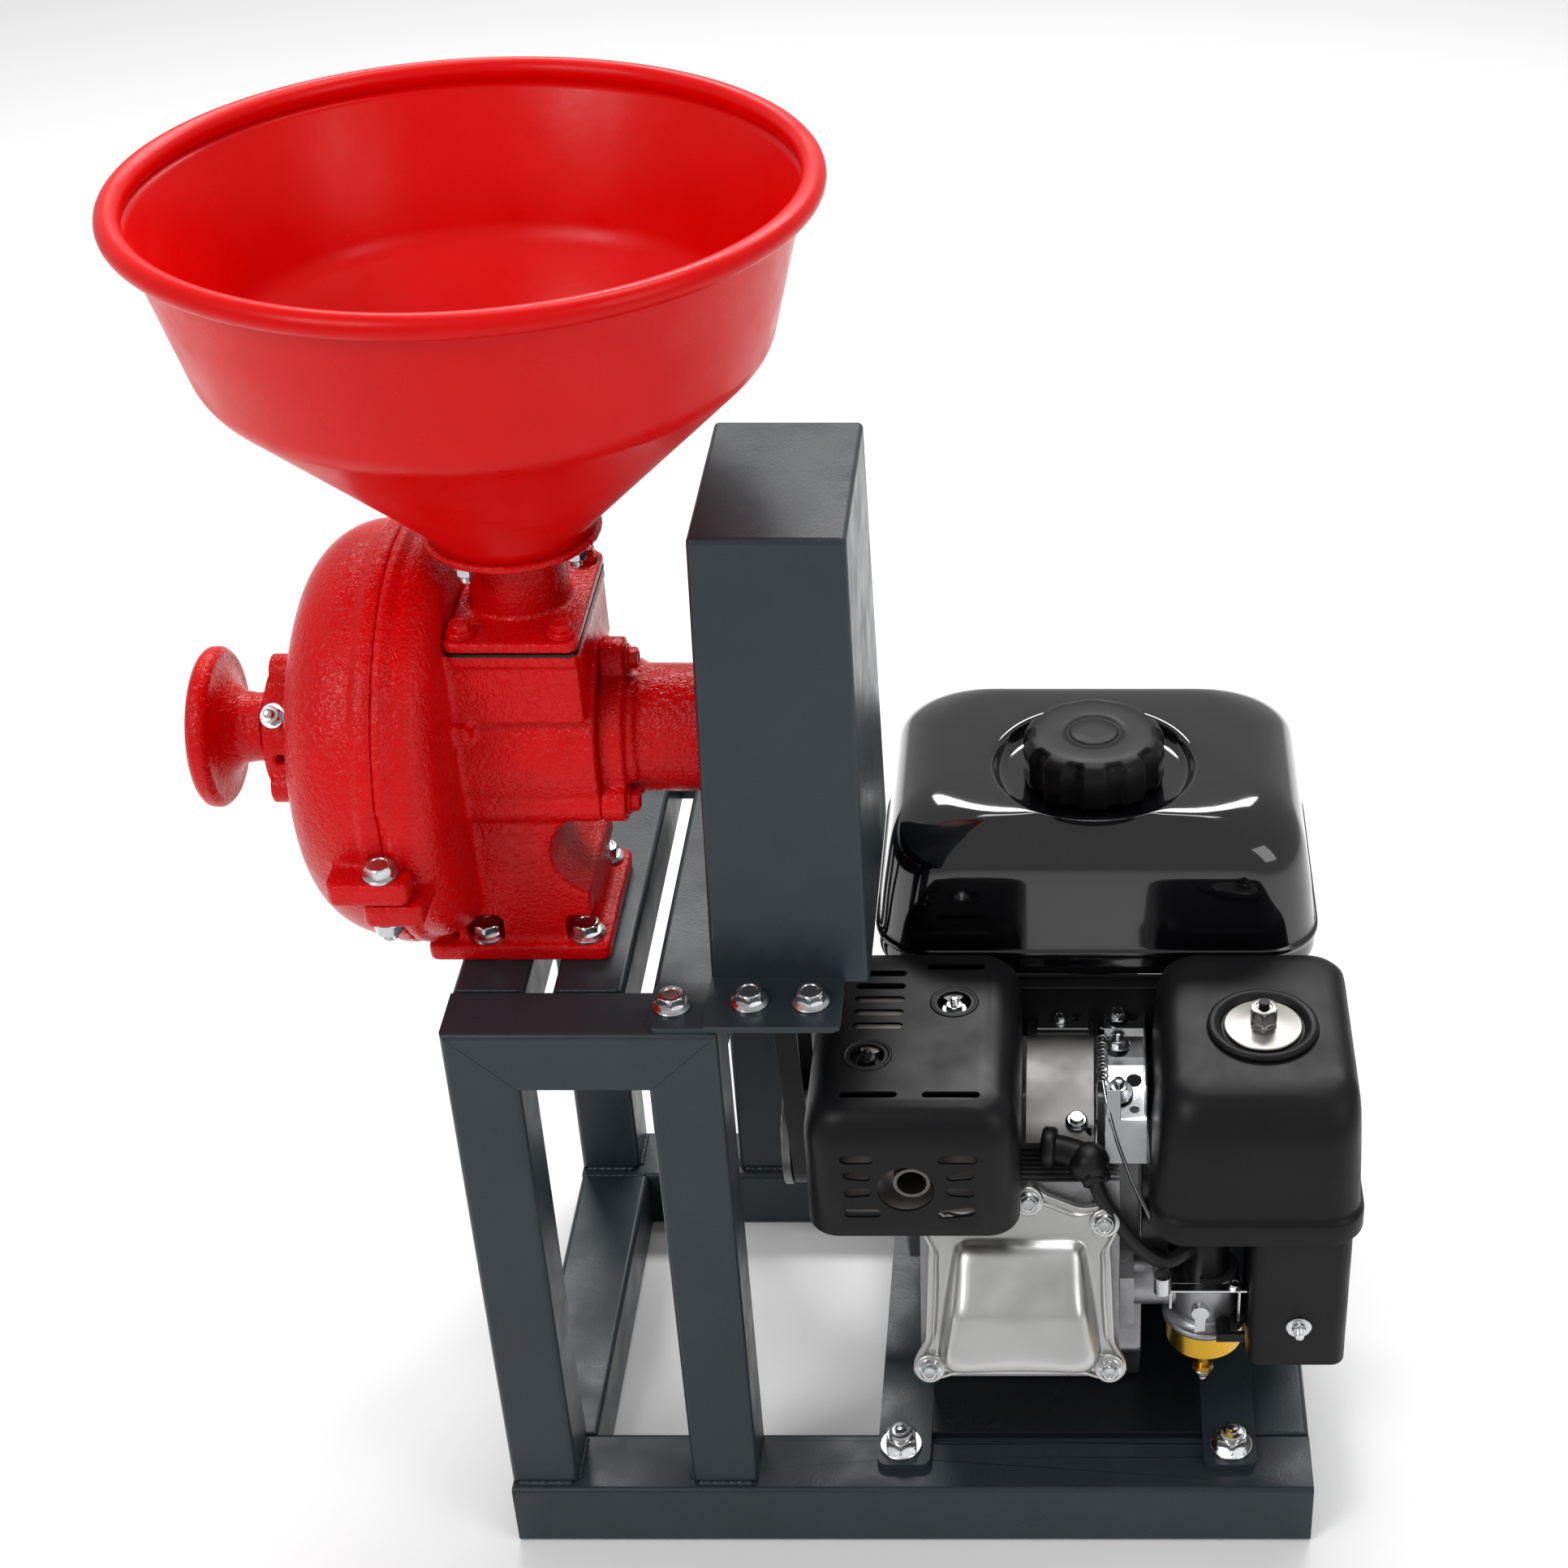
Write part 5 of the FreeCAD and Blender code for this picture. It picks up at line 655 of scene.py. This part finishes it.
def cut_by(obj, cutters):
    """Cuts closed meshes out of an object for good."""
    tool = bpy.data.objects.new("tool", merged(cutters))
    scene.collection.objects.link(tool)
    boolean = obj.modifiers.new("cut", "BOOLEAN")
    boolean.operation = "DIFFERENCE"
    boolean.solver = "EXACT"
    boolean.use_self = True
    boolean.object = tool
    made = bpy.data.meshes.new_from_object(obj.evaluated_get(bpy.context.evaluated_depsgraph_get()))
    obj.modifiers.remove(boolean)
    old = obj.data
    obj.data = made
    bpy.data.meshes.remove(old)
    bpy.data.objects.remove(tool)


def moulded(rows):
    """Rings of rounded rectangles: rows of (left, right, front, back, corner radius, height)."""
    rings = []
    for left, right, front, back, radius, z in rows:
        mid_x, mid_y = (left + right) / 2, (front + back) / 2
        line = rounded_rect((right - left) / 2, (back - front) / 2, radius, 9)
        rings.append([at(mid_x + x, mid_y + y, z) for x, y in line])
    return rings


def slot_mesh(centre, length, width, depth, along=(1, 0, 0), through=(0, 0, 1), turn=0.0):
    """A cutter with round ends: a slot of the given length, pushed through a wall."""
    long_dir = Vector(along)
    deep_dir = Vector(through)
    side_dir = deep_dir.cross(long_dir)
    if turn:
        rotation = Matrix.Rotation(math.radians(turn), 3, deep_dir)
        long_dir, side_dir = rotation @ long_dir, rotation @ side_dir
    ring = []
    radius = width / 2
    reach = length / 2 - radius
    for centre_sign, start in ((1, -90), (-1, 90)):
        for n in range(9):
            angle = math.radians(start + 22.5 * n)
            ring.append(long_dir * (centre_sign * reach + radius * math.cos(angle))
                        + side_dir * (radius * math.sin(angle)))
    base = Vector(centre)
    rings = [[at(*(base + deep_dir * d + p)) for p in ring] for d in (-depth / 2, depth / 2)]
    return rings_mesh(rings)


GUARD_ROWS = [
    (182.6, 296.4, 5.6, 156.4, 17, 239.0), (182.0, 297.0, 5.0, 157.0, 18, 240.0),
    (182.0, 297.0, 5.0, 157.0, 18, 299.0), (182.3, 296.7, 5.4, 156.7, 18, 303.0),
    (183.4, 295.6, 7.2, 155.8, 18, 309.0), (185.4, 293.6, 9.6, 154.0, 18, 314.4),
    (188.6, 290.4, 12.6, 151.6, 17, 318.4), (192.8, 286.2, 16.6, 148.0, 16, 320.9),
    (198.0, 281.0, 22.0, 143.0, 15, 322.0),
]


def cover_mesh(rows, wall):
    """A closed moulded shell with a flat top and an open foot."""
    outer_rings = moulded(rows)
    inner_rings = moulded([(left + wall, right - wall, front + wall, back - wall, radius - wall,
                            z - (wall if n > 1 else 0))
                           for n, (left, right, front, back, radius, z) in enumerate(rows)])
    bm = bmesh.new()
    count = len(outer_rings[0])
    made = []
    for rings in (outer_rings, inner_rings):
        loops = [[bm.verts.new(p) for p in ring] for ring in rings]
        for low, high in zip(loops, loops[1:]):
            for n in range(count):
                m = (n + 1) % count
                bm.faces.new((low[n], low[m], high[m], high[n]))
        bm.faces.new(loops[-1])
        made.append(loops)
    for n in range(count):
        m = (n + 1) % count
        bm.faces.new((made[0][0][n], made[0][0][m], made[1][0][m], made[1][0][n]))
    bmesh.ops.recalc_face_normals(bm, faces=bm.faces)
    mesh = bpy.data.meshes.new("cover")
    bm.to_mesh(mesh)
    bm.free()
    return mesh


GUARD_BOLTS = ((214.5, 58), (260, 104))
guard = add_piece("muffler_guard_shell", cover_mesh(GUARD_ROWS, 1.5), "muffler_black")
slots_cut = [slot_mesh((218.5, 130 - 11.6 * n, 320), 28, 5.4, 30) for n in range(5)]
slots_cut.append(slot_mesh((260, 136, 320), 33, 5.6, 30))
slots_cut += [slot_mesh((x, 25.5, 316), 31, 5.0, 40) for x in (217, 261)]
GUARD_HOLE = (236.5, 5, 273)
front_slots = [(210.8, 294, 18, 0), (210.5, 282.4, 15, 6), (210.5, 270.6, 15, -6), (212.6, 256, 20, 0),
               (264.6, 294, 22, 0), (265.8, 282.4, 15, -6), (265.8, 270.6, 15, 6), (263.4, 256, 20, -8)]
slots_cut += [slot_mesh((x, 5, z), length, 6.0, 20, through=(0, 1, 0), turn=turn)
              for x, z, length, turn in front_slots]
slots_cut.append(rings_mesh(lathe_rings([(15.4, -10), (15.4, 10)], GUARD_HOLE, (0, 1, 0), 48)))
slots_cut += [rings_mesh(lathe_rings([(9.5, -10), (9.5, 10)], (x, y, 320), (0, 0, 1), 40))
              for x, y in GUARD_BOLTS]
for row in range(4):
    slots_cut += [slot_mesh((182, y, 256 + 13 * row), 22, 5.4, 20, along=(0, 1, 0),
                            through=(1, 0, 0)) for y in (60, 100)]
cut_by(guard, slots_cut)
finished(guard)
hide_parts("muffler_guard")
split = guard.modifiers.new("split", "EDGE_SPLIT")
split.split_angle = math.radians(40)

dishes = []
for x, y in GUARD_BOLTS:
    dishes.append(rings_mesh(lathe_rings([
        (13.6, 322.2), (12.4, 322.6), (10.6, 321.6), (9.2, 318.0), (8.6, 316.4), (1, 316.4), (1, 315.2),
        (9.4, 315.2), (10.4, 317.6), (11.6, 320.4), (13.4, 321.4),
    ], (x, y, 0), (0, 0, 1), 48), closed=True))
finished(add_piece("muffler_guard_dishes", merged(dishes), "muffler_black"))
for name, slot, (x, y) in zip(("muffler_guard_bolt_dark", "muffler_guard_bolt"),
                              ("muffler_black", "zinc_steel"), GUARD_BOLTS):
    bolts(name, [((x, y, 316.6), (0, 0, 1), dict(flats=9.0, head=3.5, washer=7.0, thick=1.0, stem=2.4))],
          slot)

AIR_ROWS = [
    (368, 485, 5, 157, 20, 233.3), (368, 485, 5, 157, 20, 244.6), (368.5, 484.5, 5.5, 156.5, 20, 246.2),
    (370, 483, 7, 155.5, 19, 247.2), (370.4, 482.6, 7.6, 155, 19, 250), (371.5, 481.8, 9.4, 154.6, 19, 275),
    (372.5, 481, 11.6, 154.2, 19, 296), (373.2, 480.6, 14.4, 154, 19, 305),
    (374.4, 480, 18.4, 153.4, 19, 311.4), (376.6, 478.8, 22.8, 152.2, 18, 316.4),
    (380, 476, 27.6, 149.6, 17, 319.8), (384.6, 472, 33, 145.8, 15, 321.5), (391, 466, 40, 140, 13, 322),
]
air = add_piece("air_cleaner_shell", cover_mesh(AIR_ROWS, 2.5), "matte_black", "air_cover")
cut_by(air, [rings_mesh(lathe_rings([(3.4, 300), (3.4, 340)], (430, 82, 0), (0, 0, 1), 32))])
finished(air)
split = air.modifiers.new("split", "EDGE_SPLIT")
split.split_angle = math.radians(50)
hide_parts("air_cleaner_cover")
lathe("air_cleaner_collar", [
    (31.0, 322.2), (30.4, 324.6), (28.8, 325.8), (26.4, 325.6), (24.6, 324.0), (23.4, 322.5), (23.0, 322.1),
    (30.0, 321.9),
], (430, 82, 0), "matte_black", body="air_cover", closed=True)
washer = [rings_mesh(lathe_rings([
    (21.4, 322.7), (21.6, 323.4), (21.0, 323.9), (12.0, 324.8), (8.0, 325.2), (4.0, 325.2), (4.0, 322.7),
], (430, 82, 0), (0, 0, 1), 64), closed=True)]
nut_rings = lathe_rings([
    (8.0, 325.0), (8.1, 326.6), (6.8, 327.6), (6.2, 328.4), (8.08, 328.9), (8.08, 335.2), (7.2, 336.6),
    (6.0, 336.9), (4.6, 336.9), (4.2, 336.3), (3.1, 336.2), (3.1, 325.0),
], (430, 82, 0), (0, 0, 1), 72, hex_radius(14.0))
washer.append(rings_mesh(nut_rings, closed=True))
knob = finished(add_piece("air_cleaner_knob", merged(washer), "zinc_steel", "air_nut", look="washer_satin"))
knob.modifiers.new("split", "EDGE_SPLIT").split_angle = math.radians(28)
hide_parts("air_cleaner_nut")

# ---- cylinder head, rocker cover, plug and lead

TILT = math.radians(22.0)


def tilted(x, up, out):
    """A place on the cylinder's tilted face."""
    y = 32.0 + up * math.sin(TILT) - out * math.cos(TILT)
    z = 179.0 + up * math.cos(TILT) + out * math.sin(TILT)
    return (296.0 + x, y, z)


OUT = (0, -math.cos(TILT), math.sin(TILT))
cast_piece("crankcase", 1.6, 5)
cast_piece("crankcase_cover", 1.4, 4)
RAYS = 168
RAY_UP = -6.0


def ray_outline(corners, circles, passes):
    """Distances from (0, RAY_UP) to the far side of a polygon and circles, one per ray, smoothed."""
    radii = []
    for n in range(RAYS):
        angle = 2 * math.pi * n / RAYS
        way = Vector((math.cos(angle), math.sin(angle)))
        reach = 0.0
        for a, b in zip(corners, corners[1:] + corners[:1]):
            start, edge = Vector((a[0], a[1] - RAY_UP)), Vector((b[0] - a[0], b[1] - a[1]))
            cross = way.x * edge.y - way.y * edge.x
            if abs(cross) < 1e-9:
                continue
            along = (start.x * edge.y - start.y * edge.x) / cross
            share = (start.x * way.y - start.y * way.x) / cross
            if along > 0 and 0 <= share <= 1:
                reach = max(reach, along)
        for x, up, radius in circles:
            middle = Vector((x, up - RAY_UP))
            ahead = middle.dot(way)
            inside = radius ** 2 - (middle.length_squared - ahead ** 2)
            if ahead > 0 and inside > 0:
                reach = max(reach, ahead + math.sqrt(inside))
        radii.append(reach)
    for _ in range(passes):
        radii = [(radii[n - 1] + 2 * radii[n] + radii[(n + 1) % RAYS]) / 4 for n in range(RAYS)]
    return radii


EARS = [(-50.5, -48.0), (50.5, -48.0), (47.6, 38.5), (-47.6, 38.5)]
TOP_EAR = (5.0, 51.0)
FLANGE_LINE = ray_outline(
    [(-46, -53), (46, -53), (53, -34), (51, 20), (44, 42), (17, 53), (-8, 53), (-44, 42), (-51, 20),
     (-53, -34)],
    [(x, up, 10.5) for x, up in EARS] + [(*TOP_EAR, 9.0)], 3)
DOME_LINE = ray_outline([(-45, -47), (45, -47), (35, 27), (-35, 27)], [], 9)
CREASE_UP = -12.0


def rocker_ring(radii, inset, scale, out, domed):
    ring = []
    for n, reach in enumerate(radii):
        angle = 2 * math.pi * n / RAYS
        x = (reach - inset) * scale * math.cos(angle)
        up = RAY_UP + (reach - inset) * scale * math.sin(angle)
        height = out
        if domed:
            past = max(0.0, up - CREASE_UP)
            past = past - 3.0 * (1 - math.exp(-past / 3.0))
            height = 6.3 + (out - 6.3) * (1 - 0.019 * past)
        ring.append(at(*tilted(x, up, height)))
    return ring


rocker_rows = [
    (FLANGE_LINE, 0.8, 1, 0.0, False), (FLANGE_LINE, 0.0, 1, 0.8, False), (FLANGE_LINE, 0.0, 1, 5.2, False),
    (FLANGE_LINE, 0.3, 1, 6.0, False), (FLANGE_LINE, 1.2, 1, 6.4, False), (FLANGE_LINE, 3.4, 1, 6.4, False),
    (FLANGE_LINE, 4.0, 1, 7.6, False), (FLANGE_LINE, 5.0, 1, 8.2, False), (FLANGE_LINE, 6.0, 1, 7.6, False),
    (FLANGE_LINE, 6.6, 1, 6.3, False), (DOME_LINE, -4.2, 1, 6.2, True), (DOME_LINE, -2.6, 1, 6.8, True),
    (DOME_LINE, -1.2, 1, 8.4, True), (DOME_LINE, 0.0, 1, 13.0, True), (DOME_LINE, 1.6, 1, 19.0, True),
    (DOME_LINE, 3.2, 1, 22.4, True), (DOME_LINE, 5.6, 1, 24.8, True), (DOME_LINE, 8.6, 1, 25.8, True),
    (DOME_LINE, 12.0, 1, 26.0, True),
]
rocker_rows += [(DOME_LINE, 12.0, share, 26.0, True) for share in (0.86, 0.72, 0.58, 0.44, 0.3, 0.16, 0.04)]
rocker_parts = [rings_mesh([rocker_ring(*row) for row in rocker_rows])]
for x, up in EARS + [TOP_EAR]:
    rocker_parts.append(rings_mesh(lathe_rings([(8.6, -4.0), (8.6, 2.6), (8.2, 3.4), (7.4, 3.8), (1.0, 3.8)],
                                               tilted(x, up, 6.2), OUT, 40)))
rocker = finished(add_piece("rocker_cover_shell", merged(rocker_parts), "rocker_aluminium"))
split = rocker.modifiers.new("split", "EDGE_SPLIT")
split.split_angle = math.radians(50)
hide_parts("rocker_cover")
rows = [(tilted(x, up, 10.0), OUT, dict(flats=8.0, head=4.0, washer=6.4, thick=1.0, flange=True))
        for x, up in EARS + [TOP_EAR]]
bolts("rocker_cover_bolt_heads", rows, "zinc_steel", replaces=("rocker_cover_bolts",))

boot = tube_mesh([(311, 70, 246), (318, 68, 245.6), (327, 65, 245), (334, 62, 243.5), (338, 57, 240),
                  (339, 52, 237)], 8.4)
knobs = [rings_mesh(lathe_rings([(6, -2), (10.6, -1.4), (11.8, 0), (11.8, 5), (10.6, 6.4), (7, 7)],
                                (315, 69, 246), (-1, 0.12, 0), 40))]
knobs.append(rings_mesh(lathe_rings([
    (1, -11), (6, -9.6), (9.4, -6.4), (11.4, -2), (11.8, 2), (10.4, 6), (7.6, 8.8), (6.8, 10), (6.8, 13),
    (5, 14),
], (334.5, 61, 243), (0.3, -0.8, -0.55), 40)))
boot = finished(add_piece("plug_boot", merged([boot] + knobs), "rubber_black"))
tube("plug_cable", [(338, 53, 238), (339.4, 48, 234), (345, 44, 225), (356.7, 39, 208), (366, 37, 197),
                    (376, 36, 190), (384, 38, 191), (391, 43, 194), (398, 50, 192)], 4.5, "rubber_black")
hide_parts("plug_lead")
bolts("head_shroud_bolt", [((328, 92, 245.5), (0, -0.3, 1),
                            dict(flats=8.0, head=4.0, washer=6.4, thick=1.0, flange=True))], "zinc_steel")

# ---- sheet metal between the guard and the air cleaner

shield_line = [(160, 264), (150, 263.5), (138, 261.6), (126, 258.4), (114, 254), (104, 249.4), (94, 245),
               (86, 241.6), (82, 238)]
finished(add_piece("heat_shield", sheet_mesh(shield_line, 299, 338, 1.0), "engine_aluminium",
                   look="shield_grey"), 0.3)

bracket = [sheet_mesh([(168, 268), (150, 266), (148, 262), (132, 259), (130, 255), (112, 250), (92, 246),
                       (84, 238), (76, 228)], 344, 368, 1.2)]
bracket.append(sheet_mesh([(166, 276), (166, 262)], 306, 334, 1.2))
bracket.append(block_mesh((305, 150, 264.5), (335, 166, 266)))
bracket.append(block_mesh((338.8, 104, 236), (340, 168, 262)))
bracket.append(block_mesh((366.8, 96, 246), (368, 150, 268)))
bracket.append(sheet_mesh([(100, 262), (96, 258), (92, 246)], 345, 353, 1.2))
control = add_piece("control_bracket", merged(bracket), "zinc_steel")
cut_by(control, [rings_mesh(lathe_rings([(r, -8), (r, 8)], spot, (0, 0, 1), 24))
                 for r, spot in ((3.4, (361, 160, 267)), (2.6, (349, 136, 260)), (4.2, (361, 120, 252)),
                                 (2.6, (361, 100, 247)), (2.4, (328, 158, 265)))])
finished(control, 0.3)
control_rows = [((352, 158, 268.6), (0, 0, 1), dict(flats=8.0, head=4.0, washer=6.0, thick=1.0)),
                ((352, 140, 262.4), (0, 0, 1), dict(flats=8.0, head=3.4, washer=7.0, thick=1.0, stem=2.4)),
                ((352, 110, 251.4), (0, -0.2, 1),
                 dict(flats=10.0, head=6.0, washer=8.4, thick=1.4, stem=3.0)),
                ((318, 158, 266.2), (0, 0, 1), dict(flats=6.0, head=2.6, washer=4.6, thick=0.8))]
bolts("control_bracket_bolts", control_rows, "zinc_steel")
spring = [(343 + 3.0 * math.cos(n * 0.9), 106 + n * 0.9, 262 + 3.0 * math.sin(n * 0.9)) for n in range(52)]
tube("governor_spring", spring, 0.55, "zinc_steel")
tube("governor_rod", [(343, 108, 262), (346, 92, 250), (356, 74, 226), (368, 58, 206), (374, 54, 196)], 1.1,
     "zinc_steel")

stay = [block_mesh((236, 160, 252), (440, 162, 297)), block_mesh((236, 150, 294.6), (440, 162, 296))]
finished(add_piece("tank_stay", merged(stay), "matte_black"), 0.6)

# ---- carburettor

soften_cad(nodes["carburettor_bowl"], 0.6)
CARB = (402.0, 52.0)
carb_parts = [rings_mesh(lathe_rings([
    (23.4, 136.8), (24.6, 137.4), (24.6, 140.6), (23.6, 141.2), (18.5, 141.4), (18.2, 146), (19.2, 150),
    (19.2, 162), (18.4, 170), (16.2, 173.8), (4.0, 174.0),
], (*CARB, 0), (0, 0, 1), 56))]
finished(add_piece("carburettor_casting", merged(carb_parts), "engine_aluminium"))
plate = [block_mesh((380, 28, 174.3), (424, 34, 175.9)), block_mesh((380, 28, 162), (381.6, 34, 175)),
         block_mesh((380, 34, 174.3), (398, 70, 175.9)), block_mesh((419, 30, 150), (420.6, 37, 176))]
finished(add_piece("carburettor_plate", merged(plate), "zinc_steel"), 0.4)
rows = [((417, 31, 175.9), (0, 0, 1), dict(flats=6.0, head=2.6, washer=4.4, thick=0.8)),
        ((402, 52, 92.0), (0, 0, -1), dict(flats=9.0, head=4.0, washer=6.0, thick=1.0, stem=2.2)),
        ((452.5, 15.9, 160.0), (0, -1, 0), dict(flats=7.0, head=3.0, washer=7.2, thick=1.2, stem=2.6))]
bolts("carburettor_fixings", rows, "zinc_steel")

# ---- starter rope: a straight tube out of the cover, tied to no body

rope = tube("starter_rope", [(448, 236 + 3.2 * n, 195) for n in range(13)], 2.0, "matte_black")
rope.parent = None
del rope["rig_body"]
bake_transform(rope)
soften_cad(nodes["recoil_handle"], 0.5)

# ---- floor, light and camera

floor_mesh = bpy.data.meshes.new("floor")
half = 30.0
floor_mesh.from_pydata([(-half, -half, 0), (half, -half, 0), (half, half, 0), (-half, half, 0)], [],
                       [(0, 1, 2, 3)])
floor = bpy.data.objects.new("floor", floor_mesh)
scene.collection.objects.link(floor)
floor_mat = bpy.data.materials.new("floor_white")
floor_mat.use_nodes = True
floor_shader = floor_mat.node_tree.nodes["Principled BSDF"]
floor_shader.inputs["Base Color"].default_value = (0.95, 0.95, 0.95, 1)
floor_shader.inputs["Roughness"].default_value = 0.9
floor_shader.inputs["Specular IOR Level"].default_value = 0.1
floor_mesh.materials.append(floor_mat)

world = bpy.data.worlds.new("studio")
scene.world = world
world.use_nodes = True
world.node_tree.nodes["Background"].inputs["Color"].default_value = (1, 1, 1, 1)
world.node_tree.nodes["Background"].inputs["Strength"].default_value = 0.5


def area_light(name, spot, target, size, power):
    data = bpy.data.lights.new(name, "AREA")
    data.shape = "RECTANGLE"
    data.size, data.size_y = size
    data.energy = power
    obj = bpy.data.objects.new(name, data)
    scene.collection.objects.link(obj)
    obj.location = spot
    obj.rotation_mode = "QUATERNION"
    obj.rotation_quaternion = (Vector(target) - Vector(spot)).to_track_quat("-Z", "Y")


area_light("key", (-1.3, -1.5, 2.2), (0, 0, 0.45), (0.9, 0.9), 22)
area_light("fill", (1.6, -1.1, 1.5), (0.1, 0, 0.3), (0.8, 1.2), 8)
area_light("top", (0.2, 0.5, 2.6), (0, 0, 0.4), (1.2, 0.5), 14)
area_light("back", (0.1, 2.0, 2.45), (0, 0, 0.4), (2.4, 0.45), 60)

camera_data = bpy.data.cameras.new("camera")
camera_data.sensor_width = 36.0
camera_data.lens = 61.49
camera_data.shift_x = -0.1825
camera_data.clip_start = 0.05
camera = bpy.data.objects.new("camera", camera_data)
scene.collection.objects.link(camera)
camera.location = at(324.3, -1063.1, 1248.9)
camera.rotation_euler = (math.radians(90 - 33.8), 0, 0)
scene.camera = camera
scene.view_settings.view_transform = "Standard"
